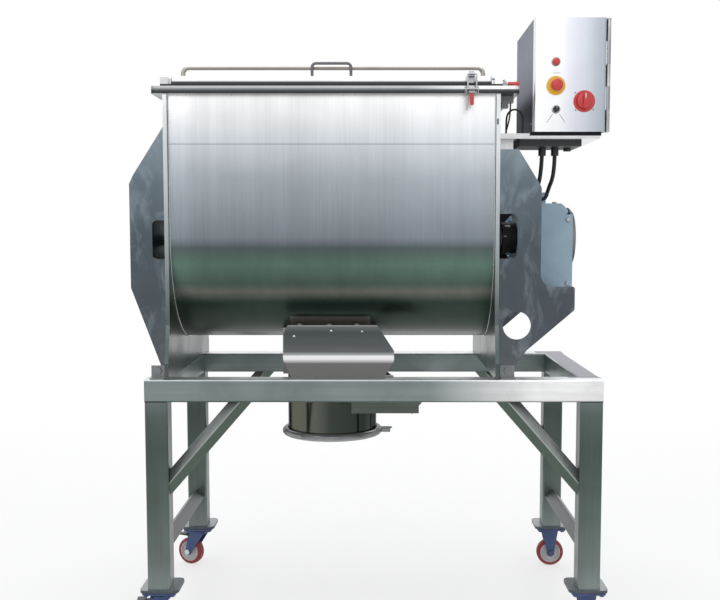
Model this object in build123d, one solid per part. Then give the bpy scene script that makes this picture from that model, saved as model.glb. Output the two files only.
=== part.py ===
from build123d import *
import math
import os

# Ribbon blender: a U-shaped trough on a wheeled stand, with a double ribbon agitator.
# X runs along the agitator shaft, Y from the front to the back, Z up from the floor.

# Stand
stand_length = 1400
stand_top = 812
tube = 70
tube_wall = 3
tube_corner = 6
brace_tube = 40
brace_wall = 3
brace_corner = 3
brace_drop = 254
brace_slope = 49
side_bar_rise = 116
foot_plate_x = 120
foot_plate_y = 125
foot_plate_thick = 10
foot_plate_corner = 20
foot_plate_shift = 20

# Casters
caster_height = 146
wheel_radius = 50
wheel_core_radius = 38
wheel_width = 32
wheel_edge = 5
wheel_groove_outer = 30
wheel_groove_inner = 15
wheel_groove_depth = 4
wheel_axle_radius = 6
axle_nut = 18
axle_nut_height = 8
caster_trail = 38
caster_plate_x = 105
caster_plate_y = 90
caster_plate_thick = 5
caster_plate_corner = 10
caster_bolt = 13
caster_bolt_height = 6
caster_bolt_inset = 12
fork_gap = 36
fork_wall = 4
fork_head_radius = 30
fork_head_thick = 6
fork_eye_radius = 14
race_height = 8
pedal_length = 28
pedal_width = 48
pedal_thick = 6
pedal_neck_length = 14
pedal_neck_width = 34
pedal_bottom = 112
caster_turn_front_left = 8
caster_turn_rear_left = -24
running_gap = 0.05
body_gap = 0.3

# Trough
trough_left = -625
trough_right = 370
trough_outer_radius = 328
trough_wall = 3
trough_clearance = 100
trough_side_height = 435
end_plate_thick = 12
end_plate_margin = 17
end_plate_flare = 33
end_plate_flare_top_rise = 163
end_plate_flare_bottom_rise = 48
end_plate_hole_gap = 8
rim_height = 22
rim_left_overhang = 34
rim_right_overhang = 56
rim_side_overhang = 10
rim_corner = 14
rim_lip = 28
rim_end_width = 81
gasket_thick = 6
gasket_margin = 5
stop_block = 24
stop_block_height = 20
stop_block_depth = 45

# Gusset plates beside the end plates
gusset_thick = 6
left_gusset_reach = 105
left_gusset_top_drop = 99
left_gusset_shoulder_in = 12
left_gusset_shoulder_rise = 191
left_gusset_corner_rise = 165
left_gusset_low_drop = 150
left_gusset_foot_reach = 18
left_gusset_foot_rise = 42
left_gusset_heel = 15
left_window_x = 74
left_window_z = 117
left_window_drop = 3.5
left_window_corner = 14
right_gusset_top_drop = 170
right_gusset_ledge = 59
right_gusset_reach = 127
right_gusset_corner_rise = 155
right_shelf_reach = 232
right_shelf_drop = 146
right_shelf_edge_drop = 218
right_gusset_heel_reach = 85
right_gusset_heel_rise = 84
right_gusset_foot_reach = 47
right_gusset_foot_rise = 26
right_window_x = 110
right_window_z = 136
right_window_rise = 7
right_window_corner = 20
inspection_hole_radius = 43
inspection_hole_reach = 56
inspection_hole_rise = 162
motor_notch_gap = 8
motor_notch_rise = 60
top_bridge_thick = 4
drive_plate_lap = 70
drive_plate_inset = 6
bracket_width = 44
bracket_height = 40
bracket_thick = 5
bracket_toe = 32
bracket_left_gap = 2
bracket_right_gap = 5
bracket_bolt = 18
bracket_bolt_height = 8
bracket_bolt_rise = 24

# Agitator
ribbon_wall_gap = 7
outer_ribbon_width = 50
outer_ribbon_thick = 8
inner_ribbon_outer_radius = 170
inner_ribbon_width = 40
inner_ribbon_thick = 6
ribbon_end_gap = 13
arm_stations = 7
arm_width = 30
arm_thick = 12
arm_inset = 16
shaft_radius = 35
journal_radius = 30
bearing_radius = 25
journal_inset = 15

# Shaft seals, left bearing and drive
seal_flange_radius = 70
seal_flange_thick = 12
seal_body_radius = 50
seal_body_length = 20
seal_follower_radius = 58
seal_follower_thick = 7
bearing_reach = 75
bearing_plate_thick = 10
bearing_plate_half_height = 110
bearing_plate_hole_gap = 8
bearing_flange = 130
bearing_flange_corner = 18
bearing_flange_thick = 14
bearing_boss_radius = 46
bearing_boss_length = 12
journal_step = 22
shaft_stub = 29
coupling_reach = 46
coupling_hub_length = 20
coupling_spider = 8
coupling_radius = 52
spider_inset = 3
gearbox_gap = 8
gearbox_length = 164
gearbox_drop = 166
gearbox_split_rise = 77
gearbox_rise = 113
gearbox_half_depth = 115
gearbox_cover_inset = 3
gearbox_chamfer_x = 37
gearbox_plate_thick = 10
gearbox_cap_radius = 101
gearbox_cap_rim = 4
gearbox_cap_bevel = 14
gearbox_cap_length = 16
gearbox_cap_crown = 5
output_shaft_inset = 18
motor_reach = 76
motor_flange_radius = 82
motor_flange_length = 35
motor_radius = 84
motor_fin_height = 9
motor_fin_thick = 3
motor_fins = 22
motor_fins_start = -40
motor_fins_span = 260
motor_length = 225
cowl_radius = 94
cowl_length = 62
cowl_edge = 14
terminal_left = 60
terminal_right = 50
terminal_front_gap = 45
terminal_depth = 100
terminal_bottom_rise = 60
terminal_rise = 160
terminal_gland_rise = 132
terminal_edge = 6

# Lid
lid_end_inset = 15
lid_side_inset = 5
lid_height = 23
lid_wall = 3
lid_corner = 8
lid_hinge_out = 19
lid_hinge_drop = 14
lid_hinge_inset = 130
lid_hinge_width = 60
lid_hinge_ear = 12
lid_hinge_pin_radius = 5
lid_knuckle_radius = 11
lid_bar_inset = 50
lid_bar_rise = 32
lid_bar_left_inset = 29
lid_bar_right_inset = 23
lid_bar_radius = 7
lid_bar_corner = 18
lid_grip_half = 58.5
lid_grip_inset = 15
lid_grip_rise = 40
lid_grip_radius = 4.5
lid_grip_corner = 12

# Latches
front_latch_inset = 77
front_latch_rise = 46
front_wire_drop = 8
front_pivot_rise = 9
end_latch_inset = 40
end_latch_side = 75
end_latch_rise = 24
latch_base_width = 42
latch_base_length = 20
latch_base_thick = 4
latch_pivot_out = 16
latch_pin_radius = 3
latch_offset = 10
latch_wire_radius = 2.5
latch_wire_half_width = 13
latch_wire_corner = 2.6
latch_stub = 11
latch_grip_length = 37
latch_grip_width = 14
latch_grip_edge = 4
latch_nose_thick = 3.5

# Control box and its shelf
box_reach = 107
box_width = 219
box_front = -300
box_depth = 400
box_height = 343
box_wall = 3
door_depth = 27
door_corner = 8
door_hinge_out = 9
door_hinge_back = 13
door_hinge_radius = 6.5
door_hinge_pin_radius = 3
door_hinge_leaf = 3
door_hinge_leaf_depth = 28
door_knuckles = 5
gear_plate_inset = 18
gear_plate_margin = 20
gear_plate_thick = 4
gear_stud_radius = 4
gear_stud_inset = 30
gear_stud_margin = 35
gear_gap = 10
gear_margin = 50
drive_unit_width = 90
drive_unit_depth = 130
drive_unit_lift = 55
contactor_height = 90
contactor_depth = 80
relay_drop = 110
relay_height = 70
relay_depth = 60
terminals_height = 45
terminals_depth = 45
band_height = 13
band_left_lap = 8
band_right_inset = 12
band_inset = 2
shelf_thick = 9
shelf_overhang = 10
shelf_right_inset = 18
shelf_ledge_inset = 14
shelf_ledge_height = 16
shelf_ledge_depth = 14
shelf_post = 50
shelf_post_width = 40
shelf_post_height = 35
shelf_post_ys = (-240, 80)
cable_box_left_lap = 41
cable_box_right_inset = 68
cable_box_height = 20
cable_box_front_inset = 20
cable_box_depth = 160
cable_radius = 6.5
cable_bore_gap = 0.2
thin_cable_radius = 2.5
loop_cable_radius = 3
loop_start = 79
loop_radius = 26
loop_rise = 81
loop_straight = 34
gland_radius = 12
gland_length = 24
gland_bottom = 4
spare_gland_length = 10
gland_y = -200
power_gland_shift = -29
signal_gland_shift = 11
spare_gland_shift = 50
lid_switch_reach = 46
lid_switch_head_x = (10, 30)
lid_switch_y = (-290, -262)
lid_switch_height = 20
lid_switch_head_height = 16

# Controls on the door: x from the box's left side and z from its underside
lamp_place = (65, 211)
stop_place = (66, 139)
key_place = (67, 68)
isolator_place = (153, 92)
lamp_radius = 14
lamp_height = 12
lamp_bezel = 3
ring_thick = 5
stop_plate_radius = 29
stop_plate_thick = 4
stop_collar = 5
stop_collar_height = 6
stop_stem_gap = 0.1
stop_head_radius = 19
stop_head_height = 18
stop_head_edge = 7
stop_stem_radius = 11
stop_travel = 6
key_radius = 13
key_height = 10
key_grip = (6, 8, 16)
isolator_plate = 66
isolator_plate_corner = 22
isolator_plate_thick = 5
isolator_radius = 24
isolator_height = 14
isolator_grip = (14, 14)

# Discharge
outlet_shift = -16
opening_half_x = 95
opening_half_y = 90
flap_gap = 1
flap_pivot_reach = 113.5
flap_pivot_drop = 23
flap_hub_radius = 16
flap_hub_half = 12
flap_shaft_radius = 12
flap_rib_thick = 8
flap_rib_y = 60
flap_swing = 85
chamber_half_x = 153
chamber_half_y = 155
chamber_wall = 4
chamber_top_rise = 128
chamber_dip = 12
chamber_boss_radius = 22
chamber_boss_length = 26
saddle_plate_half_x = 124
saddle_plate_start = 120
saddle_plate_reach = 215
saddle_plate_rise = 38
saddle_plate_thick = 8
saddle_corner = 22
saddle_bolt = 15
saddle_bolt_height = 9
saddle_bolt_inset = 14
saddle_bolt_xs = (-95, 0, 88)
spout_radius = 150
spout_wall = 3
spout_length = 220
spout_flange_thick = 8
ferrule_radius = 163
ferrule_thick = 7
clamp_radius = 170
clamp_height = 24
clamp_lap = 5
clamp_bore_gap = 2
clamp_lug_reach = 28
clamp_lug_root = 4
clamp_lug_inner = 3
clamp_lug_outer = 14
clamp_lug_margin = 4
wing_nut_x = 20
wing_nut_radius = 7
wing_length = 16
wing_tip = 18
wing_tip_width = 8
wing_thick = 6
wing_rise = 14
crank_offset = 34
crank_thick = 8
crank_gap = 4
crank_root_radius = 20
crank_tip_radius = 17
crank_pin_radius = 6
crank_slot_width = 19
crank_slot_end = 2
cylinder_slope = 40
cylinder_gap = 31.7
cylinder_radius = 25
cylinder_length = 195
cylinder_cap = 54
cylinder_cap_length = 20
rod_radius = 8
rod_in_cylinder = 60
clevis_length = 30
clevis_width = 24
clevis_gap = 6
valve_bracket_start = 72
valve_bracket_end = 12
valve_bracket_drop = 55
valve_bracket_thick = 6
guard_thick = 2
guard_blank = 230
guard_left = 142.5
guard_right = 205.5
guard_top_gap = 2
guard_top_rise = 52
guard_fold_drop = 32
guard_low_drop = 46
guard_end_lift = 0.5
guard_end_lap = 14
guard_fold_out = 6
guard_low_out = 7
guard_tab_reach = 171.5
guard_tab_width = 32
guard_tab_thick = 3

# Derived places of the stand
end_plate_half_depth = trough_outer_radius + end_plate_margin
stand_depth = 2 * end_plate_half_depth + tube
leg_x = (stand_length - tube) / 2
leg_y = (stand_depth - tube) / 2
rail_inner_y = stand_depth / 2 - tube
rail_bottom = stand_top - tube
leg_bottom = caster_height + foot_plate_thick
brace_foot_height = rail_bottom - brace_drop
side_bar_height = leg_bottom + side_bar_rise

# Derived places of the trough, its gussets and the lid
shaft_height = stand_top + trough_clearance + trough_outer_radius
trough_bottom = shaft_height - trough_outer_radius
trough_top = shaft_height + trough_side_height
end_plate_flare_top = stand_top + end_plate_flare_top_rise
end_plate_flare_bottom = stand_top + end_plate_flare_bottom_rise
end_left_face = trough_left - end_plate_thick
end_right_face = trough_right + end_plate_thick
trough_length = trough_right - trough_left
trough_middle = (trough_left + trough_right) / 2
rim_top = trough_top + rim_height
rim_left = end_left_face - rim_left_overhang
rim_right = end_right_face + rim_right_overhang
rim_half_depth = end_plate_half_depth + rim_side_overhang
gasket_top = rim_top + gasket_thick
gusset_y = end_plate_half_depth - gusset_thick
left_gusset_top = trough_top - left_gusset_top_drop
left_gusset_edge = end_left_face - left_gusset_reach
right_gusset_top = trough_top - right_gusset_top_drop
right_gusset_edge = end_right_face + right_gusset_reach
right_shelf_edge = end_right_face + right_shelf_reach
right_shelf_top = shaft_height - right_shelf_drop
lid_left = trough_left + lid_end_inset
lid_right = trough_right - lid_end_inset
lid_half_depth = rim_half_depth - lid_side_inset
lid_bottom = gasket_top + body_gap
lid_top = gasket_top + lid_height
lid_hinge_y = rim_half_depth + lid_hinge_out
lid_hinge_z = lid_top - lid_hinge_drop
lid_hinge_xs = (lid_left + lid_hinge_inset, lid_right - lid_hinge_inset)
lid_bar_y = -lid_half_depth + lid_bar_inset
lid_bar_z = lid_top + lid_bar_rise
lid_bar_left = lid_left + lid_bar_left_inset
lid_bar_right = lid_right - lid_bar_right_inset
lid_grip_left = trough_middle - lid_grip_half
lid_grip_right = trough_middle + lid_grip_half
lid_grip_y = -lid_half_depth + lid_grip_inset
lid_grip_z = lid_top + lid_grip_rise
front_latch_x = trough_right - front_latch_inset
latch_pivot_z = trough_top + front_pivot_rise
end_latch_x = rim_right - end_latch_inset
end_latch_y = -rim_half_depth + end_latch_side

# Derived places of the agitator and its drive
ribbon_outer_radius = trough_outer_radius - trough_wall - ribbon_wall_gap
ribbon_left = trough_left + ribbon_end_gap
ribbon_length = trough_length - 2 * ribbon_end_gap
arm_pitch = (ribbon_length - 2 * arm_inset) / (arm_stations - 1)
outer_pitch = arm_pitch * (arm_stations - 1)
inner_pitch = outer_pitch / 2
bearing_plate_x = end_left_face - bearing_reach
shaft_left_end = bearing_plate_x - shaft_stub
coupling_left = end_right_face + coupling_reach
drive_hub_left = coupling_left + coupling_hub_length + coupling_spider
gearbox_left = drive_hub_left + coupling_hub_length + gearbox_gap
gearbox_right = gearbox_left + gearbox_length
gearbox_bottom = shaft_height - gearbox_drop
gearbox_split = shaft_height + gearbox_split_rise
gearbox_top = shaft_height + gearbox_rise
output_shaft_end = gearbox_right - output_shaft_inset
motor_x = gearbox_left + motor_reach
motor_front = gearbox_half_depth + motor_flange_length
motor_back = motor_front + motor_length
terminal_x = (motor_x - terminal_left, motor_x + terminal_right)
terminal_front = motor_front + terminal_front_gap
terminal_gland_z = shaft_height + terminal_gland_rise

# Derived places of the control box and its shelf
bridge_top = right_gusset_top + top_bridge_thick
shelf_bottom = bridge_top + shelf_post_height
shelf_top = shelf_bottom + shelf_thick
box_left = end_right_face + box_reach
box_right = box_left + box_width
box_back = box_front + box_depth
box_bottom = shelf_top + band_height
box_top = box_bottom + box_height
door_hinge_x = box_right + door_hinge_out
door_hinge_y = box_front + door_hinge_back
cable_box_bottom = shelf_bottom - cable_box_height
lamp_at = (box_left + lamp_place[0], box_bottom + lamp_place[1])
stop_at = (box_left + stop_place[0], box_bottom + stop_place[1])
key_at = (box_left + key_place[0], box_bottom + key_place[1])
isolator_at = (box_left + isolator_place[0], box_bottom + isolator_place[1])
power_cable_x = motor_x + power_gland_shift
signal_cable_x = motor_x + signal_gland_shift
spare_gland_x = motor_x + spare_gland_shift

# Derived places of the discharge
outlet_x = trough_middle + outlet_shift
flap_pivot_x = outlet_x + flap_pivot_reach
flap_pivot_z = trough_bottom - flap_pivot_drop
chamber_bottom = stand_top - chamber_dip
chamber_top = trough_bottom + chamber_top_rise
saddle_plate_z = trough_bottom + saddle_plate_rise
spout_bottom = chamber_bottom - spout_length
crank_front = -chamber_half_y - chamber_boss_length - body_gap - crank_thick - crank_gap
cylinder_y = crank_front - cylinder_gap


def block(xs, ys, zs):
    # A box between pairs of low and high coordinates
    middle = [(low + high) / 2 for low, high in (xs, ys, zs)]
    size = [high - low for low, high in (xs, ys, zs)]
    return Pos(*middle) * Box(*size)


def rod_x(radius, x_low, x_high, y, z):
    # A round bar along X
    return Pos((x_low + x_high) / 2, y, z) * Rot(0, 90, 0) * Cylinder(radius, x_high - x_low)


def rod_y(radius, x, y_low, y_high, z):
    # A round bar along Y
    return Pos(x, (y_low + y_high) / 2, z) * Rot(90, 0, 0) * Cylinder(radius, y_high - y_low)


def rod_z(radius, x, y, z_low, z_high):
    # A round bar along Z
    return Pos(x, y, (z_low + z_high) / 2) * Cylinder(radius, z_high - z_low)


def hex_z(across, x, y, z_low, z_high):
    # A hexagon head standing along Z
    head = RegularPolygon(across / 2, 6, major_radius=False)
    return Pos(x, y, z_low) * extrude(head, amount=z_high - z_low)


def hex_y(across, x, z, y_low, y_high):
    # A hexagon head lying along Y
    head = RegularPolygon(across / 2, 6, major_radius=False)
    return Pos(x, y_high, z) * Rot(90, 0, 0) * extrude(head, amount=y_high - y_low)


def plate_xz(outline, y_low, y_high, radii=0):
    # A flat plate that faces the front; outline holds x and z of each corner
    points = [(x, y_low, z) for x, z in outline]
    edge = FilletPolyline(*points, radius=radii, close=True) if radii else Polyline(*points, close=True)
    return extrude(make_face(edge), amount=y_high - y_low, dir=(0, 1, 0))


def plate_yz(outline, x_low, x_high):
    # A flat plate that faces the side; outline holds y and z of each corner
    points = [(x_low, y, z) for y, z in outline]
    return extrude(make_face(Polyline(*points, close=True)), amount=x_high - x_low, dir=(1, 0, 0))


def square_tube(length, size, wall, corner):
    # A hollow square tube that stands on the origin along Z
    section = RectangleRounded(size, size, corner) - Rectangle(size - 2 * wall, size - 2 * wall)
    return extrude(section, amount=length)


def round_ring(outer, inner, x, y, z_low, z_high):
    # A ring about a vertical line
    return rod_z(outer, x, y, z_low, z_high) - rod_z(inner, x, y, z_low - 1, z_high + 1)


def both_sides(maker):
    # The same piece at the front (-1) and at the back (+1)
    return [maker(side) for side in (-1, 1)]


def group(solids):
    return Compound(children=list(solids))


def make_stand():
    # Rails, legs, diamond-set braces and side bars, with foot plates for the casters
    rail_x = Rot(0, 90, 0) * square_tube(stand_length, tube, tube_wall, tube_corner)
    long_rails = both_sides(
        lambda side: Pos(-stand_length / 2, side * leg_y, stand_top - tube / 2) * rail_x
    )
    inner = tube - 2 * tube_wall
    caps = []
    for end in (-1, 1):
        outer_face = end * stand_length / 2
        inner_face = end * (stand_length / 2 - tube_wall)
        for side in (-1, 1):
            caps.append(block(
                (min(outer_face, inner_face), max(outer_face, inner_face)),
                (side * leg_y - inner / 2, side * leg_y + inner / 2),
                (rail_bottom + tube_wall, stand_top - tube_wall),
            ))
    cross_length = 2 * rail_inner_y
    rail_y = Rot(-90, 0, 0) * square_tube(cross_length, tube, tube_wall, tube_corner)
    short_rails = [
        Pos(end * leg_x, -cross_length / 2, stand_top - tube / 2) * rail_y for end in (-1, 1)
    ]
    leg = square_tube(rail_bottom - leg_bottom, tube, tube_wall, tube_corner)
    legs = [Pos(end * leg_x, side * leg_y, leg_bottom) * leg for end in (-1, 1) for side in (-1, 1)]
    foot_face = RectangleRounded(foot_plate_x, foot_plate_y, foot_plate_corner)
    foot = extrude(foot_face, amount=foot_plate_thick)
    feet = [
        Pos(end * leg_x, side * leg_y + foot_plate_shift, caster_height) * foot
        for end in (-1, 1) for side in (-1, 1)
    ]
    bar = Rot(-90, 0, 0) * Rot(0, 0, 45) * square_tube(cross_length, brace_tube, brace_wall, brace_corner)
    side_bars = [Pos(end * leg_x, -cross_length / 2, side_bar_height) * bar for end in (-1, 1)]
    braces = [make_brace(end, side) for end in (-1, 1) for side in (-1, 1)]
    return {
        "stand_rails": long_rails + short_rails + caps, "stand_legs": legs,
        "stand_braces": braces + side_bars, "leg_foot_plates": feet,
    }


def make_brace(end, side):
    # One diagonal tube between the inner face of a leg and the underside of a long rail
    leg_face = stand_length / 2 - tube
    rise = rail_bottom - brace_foot_height
    run = rise / math.tan(math.radians(brace_slope))
    start = Vector(end * leg_face, side * leg_y, brace_foot_height)
    along = Vector(-end * run, 0, rise).normalized()
    spare = 2 * brace_tube
    blank = square_tube(math.hypot(run, rise) + 2 * spare, brace_tube, brace_wall, brace_corner)
    plane = Plane(origin=start - along * spare, x_dir=(0, 1, 0), z_dir=along)
    room_x = (-leg_face, 0) if end < 0 else (0, leg_face)
    room = block(room_x, (side * leg_y - tube, side * leg_y + tube), (leg_bottom, rail_bottom))
    return (plane * Rot(0, 0, 45) * blank) & room


def fork_sides(lean, top):
    # The two cheeks of a caster fork; lean is how far the axle stands behind the pivot
    front = fork_head_radius - fork_wall / 2
    back = -fork_head_radius - fork_wall
    outline = Polygon(
        (front, top), (back, top), (-lean - fork_eye_radius + 1, wheel_radius + 2),
        (-lean + fork_eye_radius - 1, wheel_radius - 2), align=None,
    )
    face = outline + Pos(-lean, wheel_radius) * Circle(fork_eye_radius)
    bore = Pos(-lean, wheel_radius) * Circle(wheel_axle_radius)
    cheek = extrude(Plane.XZ * (face - bore), amount=fork_wall)
    near = Pos(0, -fork_gap / 2, 0) * cheek
    far = Pos(0, fork_gap / 2 + fork_wall, 0) * cheek
    bridge = block(
        (back, front), (-fork_gap / 2 - fork_wall, fork_gap / 2 + fork_wall), (top - fork_wall, top)
    )
    return near + far + bridge


def make_wheel(lean):
    # Tread, core and axle bolt of one caster, about its axle along Y
    half = wheel_width / 2
    core_sketch = Circle(wheel_core_radius) - Circle(wheel_axle_radius + running_gap)
    core = extrude(Plane.XZ * core_sketch, amount=half - 1, both=True)
    groove_sketch = Circle(wheel_groove_outer) - Circle(wheel_groove_inner)
    groove = extrude(Plane.XZ * groove_sketch, amount=half)
    core -= Pos(0, -half + wheel_groove_depth, 0) * groove
    core -= Pos(0, 2 * half - wheel_groove_depth, 0) * groove
    tread = extrude(Plane.XZ * (Circle(wheel_radius) - Circle(wheel_core_radius)), amount=half, both=True)
    rims = [e for e in tread.edges().filter_by(GeomType.CIRCLE) if e.radius > wheel_radius - 1]
    tread = fillet(rims, wheel_edge)
    reach = fork_gap / 2 + fork_wall
    axle = rod_y(wheel_axle_radius, 0, -reach - 2, reach + 2, 0)
    axle += hex_y(axle_nut, 0, 0, -reach - axle_nut_height, -reach)
    axle += hex_y(axle_nut, 0, 0, reach, reach + axle_nut_height)
    place = Pos(-lean, 0, wheel_radius)
    return place * core, place * tread, place * axle


def make_casters():
    # Left pair swivels and has brakes, right pair is fixed
    nodes = {"caster_top_plates": [], "fixed_caster_forks": []}
    plate_bottom = caster_height - caster_plate_thick
    corners = [
        ("front_left", -1, -1, caster_turn_front_left), ("rear_left", -1, 1, caster_turn_rear_left),
        ("front_right", 1, -1, 0), ("rear_right", 1, 1, 0),
    ]
    for name, end, side, turn in corners:
        swivels = end < 0
        here = Pos(end * leg_x, side * leg_y, 0)
        plate_face = RectangleRounded(caster_plate_x, caster_plate_y, caster_plate_corner)
        plate = Pos(0, 0, plate_bottom) * extrude(plate_face, amount=caster_plate_thick)
        lean = caster_trail if swivels else 0
        if swivels:
            plate += Pos(0, 0, plate_bottom - race_height / 2) * Cylinder(fork_head_radius - 3, race_height)
        nodes["caster_top_plates"].append(here * plate)
        for sx in (-1, 1):
            for sy in (-1, 1):
                x = sx * (caster_plate_x / 2 - caster_bolt_inset)
                y = sy * (caster_plate_y / 2 - caster_bolt_inset)
                bolt = hex_z(caster_bolt, x, y, plate_bottom - caster_bolt_height, plate_bottom)
                nodes["caster_top_plates"].append(here * bolt)
        core, tread, axle = make_wheel(lean)
        if swivels:
            head_top = plate_bottom - race_height - body_gap
            fork = fork_sides(lean, head_top - fork_head_thick)
            fork += Pos(0, 0, head_top - fork_head_thick / 2) * Cylinder(fork_head_radius, fork_head_thick)
            place = here * Rot(0, 0, turn)
            nodes["swivel_fork_" + name] = [place * fork, place * axle, place * make_brake_pedal()]
        else:
            place = here
            nodes["fixed_caster_forks"] += [place * fork_sides(0, plate_bottom), place * axle]
        nodes["wheel_" + name] = [place * core, place * tread]
    return nodes


def make_brake_pedal():
    # A foot lever that straddles the fork behind the wheel, on the fork's top edge
    x_high = -fork_head_radius - fork_wall - body_gap
    pad_high = x_high - pedal_neck_length + 2
    half = pedal_width / 2
    pad = block(
        (pad_high - pedal_length, pad_high), (-half, half), (pedal_bottom, pedal_bottom + pedal_thick)
    )
    half = pedal_neck_width / 2
    neck_bottom = pedal_bottom - 4
    neck = block(
        (x_high - pedal_neck_length, x_high), (-half, half), (neck_bottom, neck_bottom + pedal_thick)
    )
    return pad + neck


def make_trough():
    # U-shaped shell, end plates that reach down to the stand, rim, gasket and stop blocks
    outer = Pos(0, shaft_height) * Circle(trough_outer_radius)
    height = trough_top - shaft_height
    inner_radius = trough_outer_radius - trough_wall
    outer += Pos(0, shaft_height + height / 2) * Rectangle(2 * trough_outer_radius, height)
    inner = Pos(0, shaft_height) * Circle(inner_radius)
    inner += Pos(0, shaft_height + height / 2 + 5) * Rectangle(2 * inner_radius, height + 10)
    section = Plane.YZ * (outer - inner)
    shell = Pos(trough_left, 0, 0) * extrude(section, amount=trough_length)
    shell -= block(
        (outlet_x - opening_half_x, outlet_x + opening_half_x),
        (-opening_half_y, opening_half_y), (chamber_bottom, chamber_top),
    )
    half = end_plate_half_depth
    flared = half + end_plate_flare
    outline = [
        (-half, trough_top), (half, trough_top), (half, end_plate_flare_top),
        (flared, end_plate_flare_bottom), (flared, stand_top), (-flared, stand_top),
        (-flared, end_plate_flare_bottom), (-half, end_plate_flare_top),
    ]
    hole = journal_radius + end_plate_hole_gap
    left = plate_yz(outline, end_left_face, trough_left)
    left -= rod_x(hole, end_left_face - 1, trough_left + 1, 0, shaft_height)
    right = plate_yz(outline, trough_right, end_right_face)
    right -= rod_x(hole, trough_right - 1, end_right_face + 1, 0, shaft_height)
    rim_middle = (rim_left + rim_right) / 2
    rim_face = Pos(rim_middle, 0) * RectangleRounded(rim_right - rim_left, 2 * rim_half_depth, rim_corner)
    mouth_left = rim_left + rim_end_width
    mouth_right = 2 * trough_middle - mouth_left
    mouth = Pos(trough_middle, 0) * Rectangle(
        mouth_right - mouth_left, 2 * (trough_outer_radius - rim_lip)
    )
    rim = Pos(0, 0, trough_top) * extrude(rim_face - mouth, amount=rim_height)
    gasket_half = (trough_length + 2 * end_plate_thick) / 2 + gasket_margin
    gasket_face = Pos(trough_middle, 0) * Rectangle(2 * gasket_half, 2 * lid_half_depth) - mouth
    gasket = Pos(0, 0, rim_top) * extrude(gasket_face, amount=gasket_thick)
    stops = []
    for end in (-1, 1):
        x = trough_middle + end * (gasket_half - stop_block / 2)
        for side in (-1, 1):
            y = side * (lid_half_depth - stop_block_depth / 2)
            stops.append(block(
                (x - stop_block / 2, x + stop_block / 2),
                (y - stop_block_depth / 2, y + stop_block_depth / 2),
                (gasket_top, gasket_top + stop_block_height),
            ))
    return {
        "trough_shell": [shell], "trough_end_plates": [left, right],
        "trough_rim": [rim] + stops, "lid_gasket": [gasket],
    }


def left_gusset(side):
    # Side plate around the left bearing, with a round-cornered window
    edge = left_gusset_edge
    outline = [
        (end_left_face, left_gusset_top),
        (edge + left_gusset_shoulder_in, shaft_height + left_gusset_shoulder_rise),
        (edge, shaft_height + left_gusset_corner_rise), (edge, shaft_height - left_gusset_low_drop),
        (end_left_face - left_gusset_foot_reach, stand_top + left_gusset_foot_rise),
        (end_left_face - left_gusset_heel, stand_top), (end_left_face, stand_top),
    ]
    y_low = -end_plate_half_depth if side < 0 else gusset_y
    plate = plate_xz(outline, y_low, y_low + gusset_thick)
    window = RectangleRounded(left_window_x, left_window_z, left_window_corner)
    window = Pos(end_left_face, shaft_height - left_window_drop) * window
    return plate - extrude(Plane.XZ * window, amount=stand_depth, both=True)


def right_gusset(side):
    # Side plate under the drive; the rear one is notched for the motor
    edge = right_gusset_edge
    far = right_shelf_edge
    foot = end_right_face + right_gusset_foot_reach
    outline = [
        (end_right_face, right_gusset_top), (end_right_face + right_gusset_ledge, right_gusset_top),
        (edge, shaft_height + right_gusset_corner_rise), (edge, right_shelf_top), (far, right_shelf_top),
        (far, shaft_height - right_shelf_edge_drop),
        (end_right_face + right_gusset_heel_reach, stand_top + right_gusset_heel_rise),
        (foot, stand_top + right_gusset_foot_rise), (foot, stand_top), (end_right_face, stand_top),
    ]
    radii = [0, 8, 20, 36, 8, 12, 14, 14, 0, 0]
    y_low = -end_plate_half_depth if side < 0 else gusset_y
    plate = plate_xz(outline, y_low, y_low + gusset_thick, radii)
    window = RectangleRounded(right_window_x, right_window_z, right_window_corner)
    window = Pos(end_right_face, shaft_height + right_window_rise) * window
    plate -= extrude(Plane.XZ * window, amount=stand_depth, both=True)
    plate -= rod_y(
        inspection_hole_radius, end_right_face + inspection_hole_reach,
        y_low - 1, y_low + gusset_thick + 1, stand_top + inspection_hole_rise,
    )
    if side > 0:
        notch = cowl_radius + motor_notch_gap
        plate -= block(
            (motor_x - notch, edge + 1), (y_low - 1, y_low + gusset_thick + 1),
            (shaft_height - notch, shaft_height + notch + motor_notch_rise),
        )
    return plate


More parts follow.
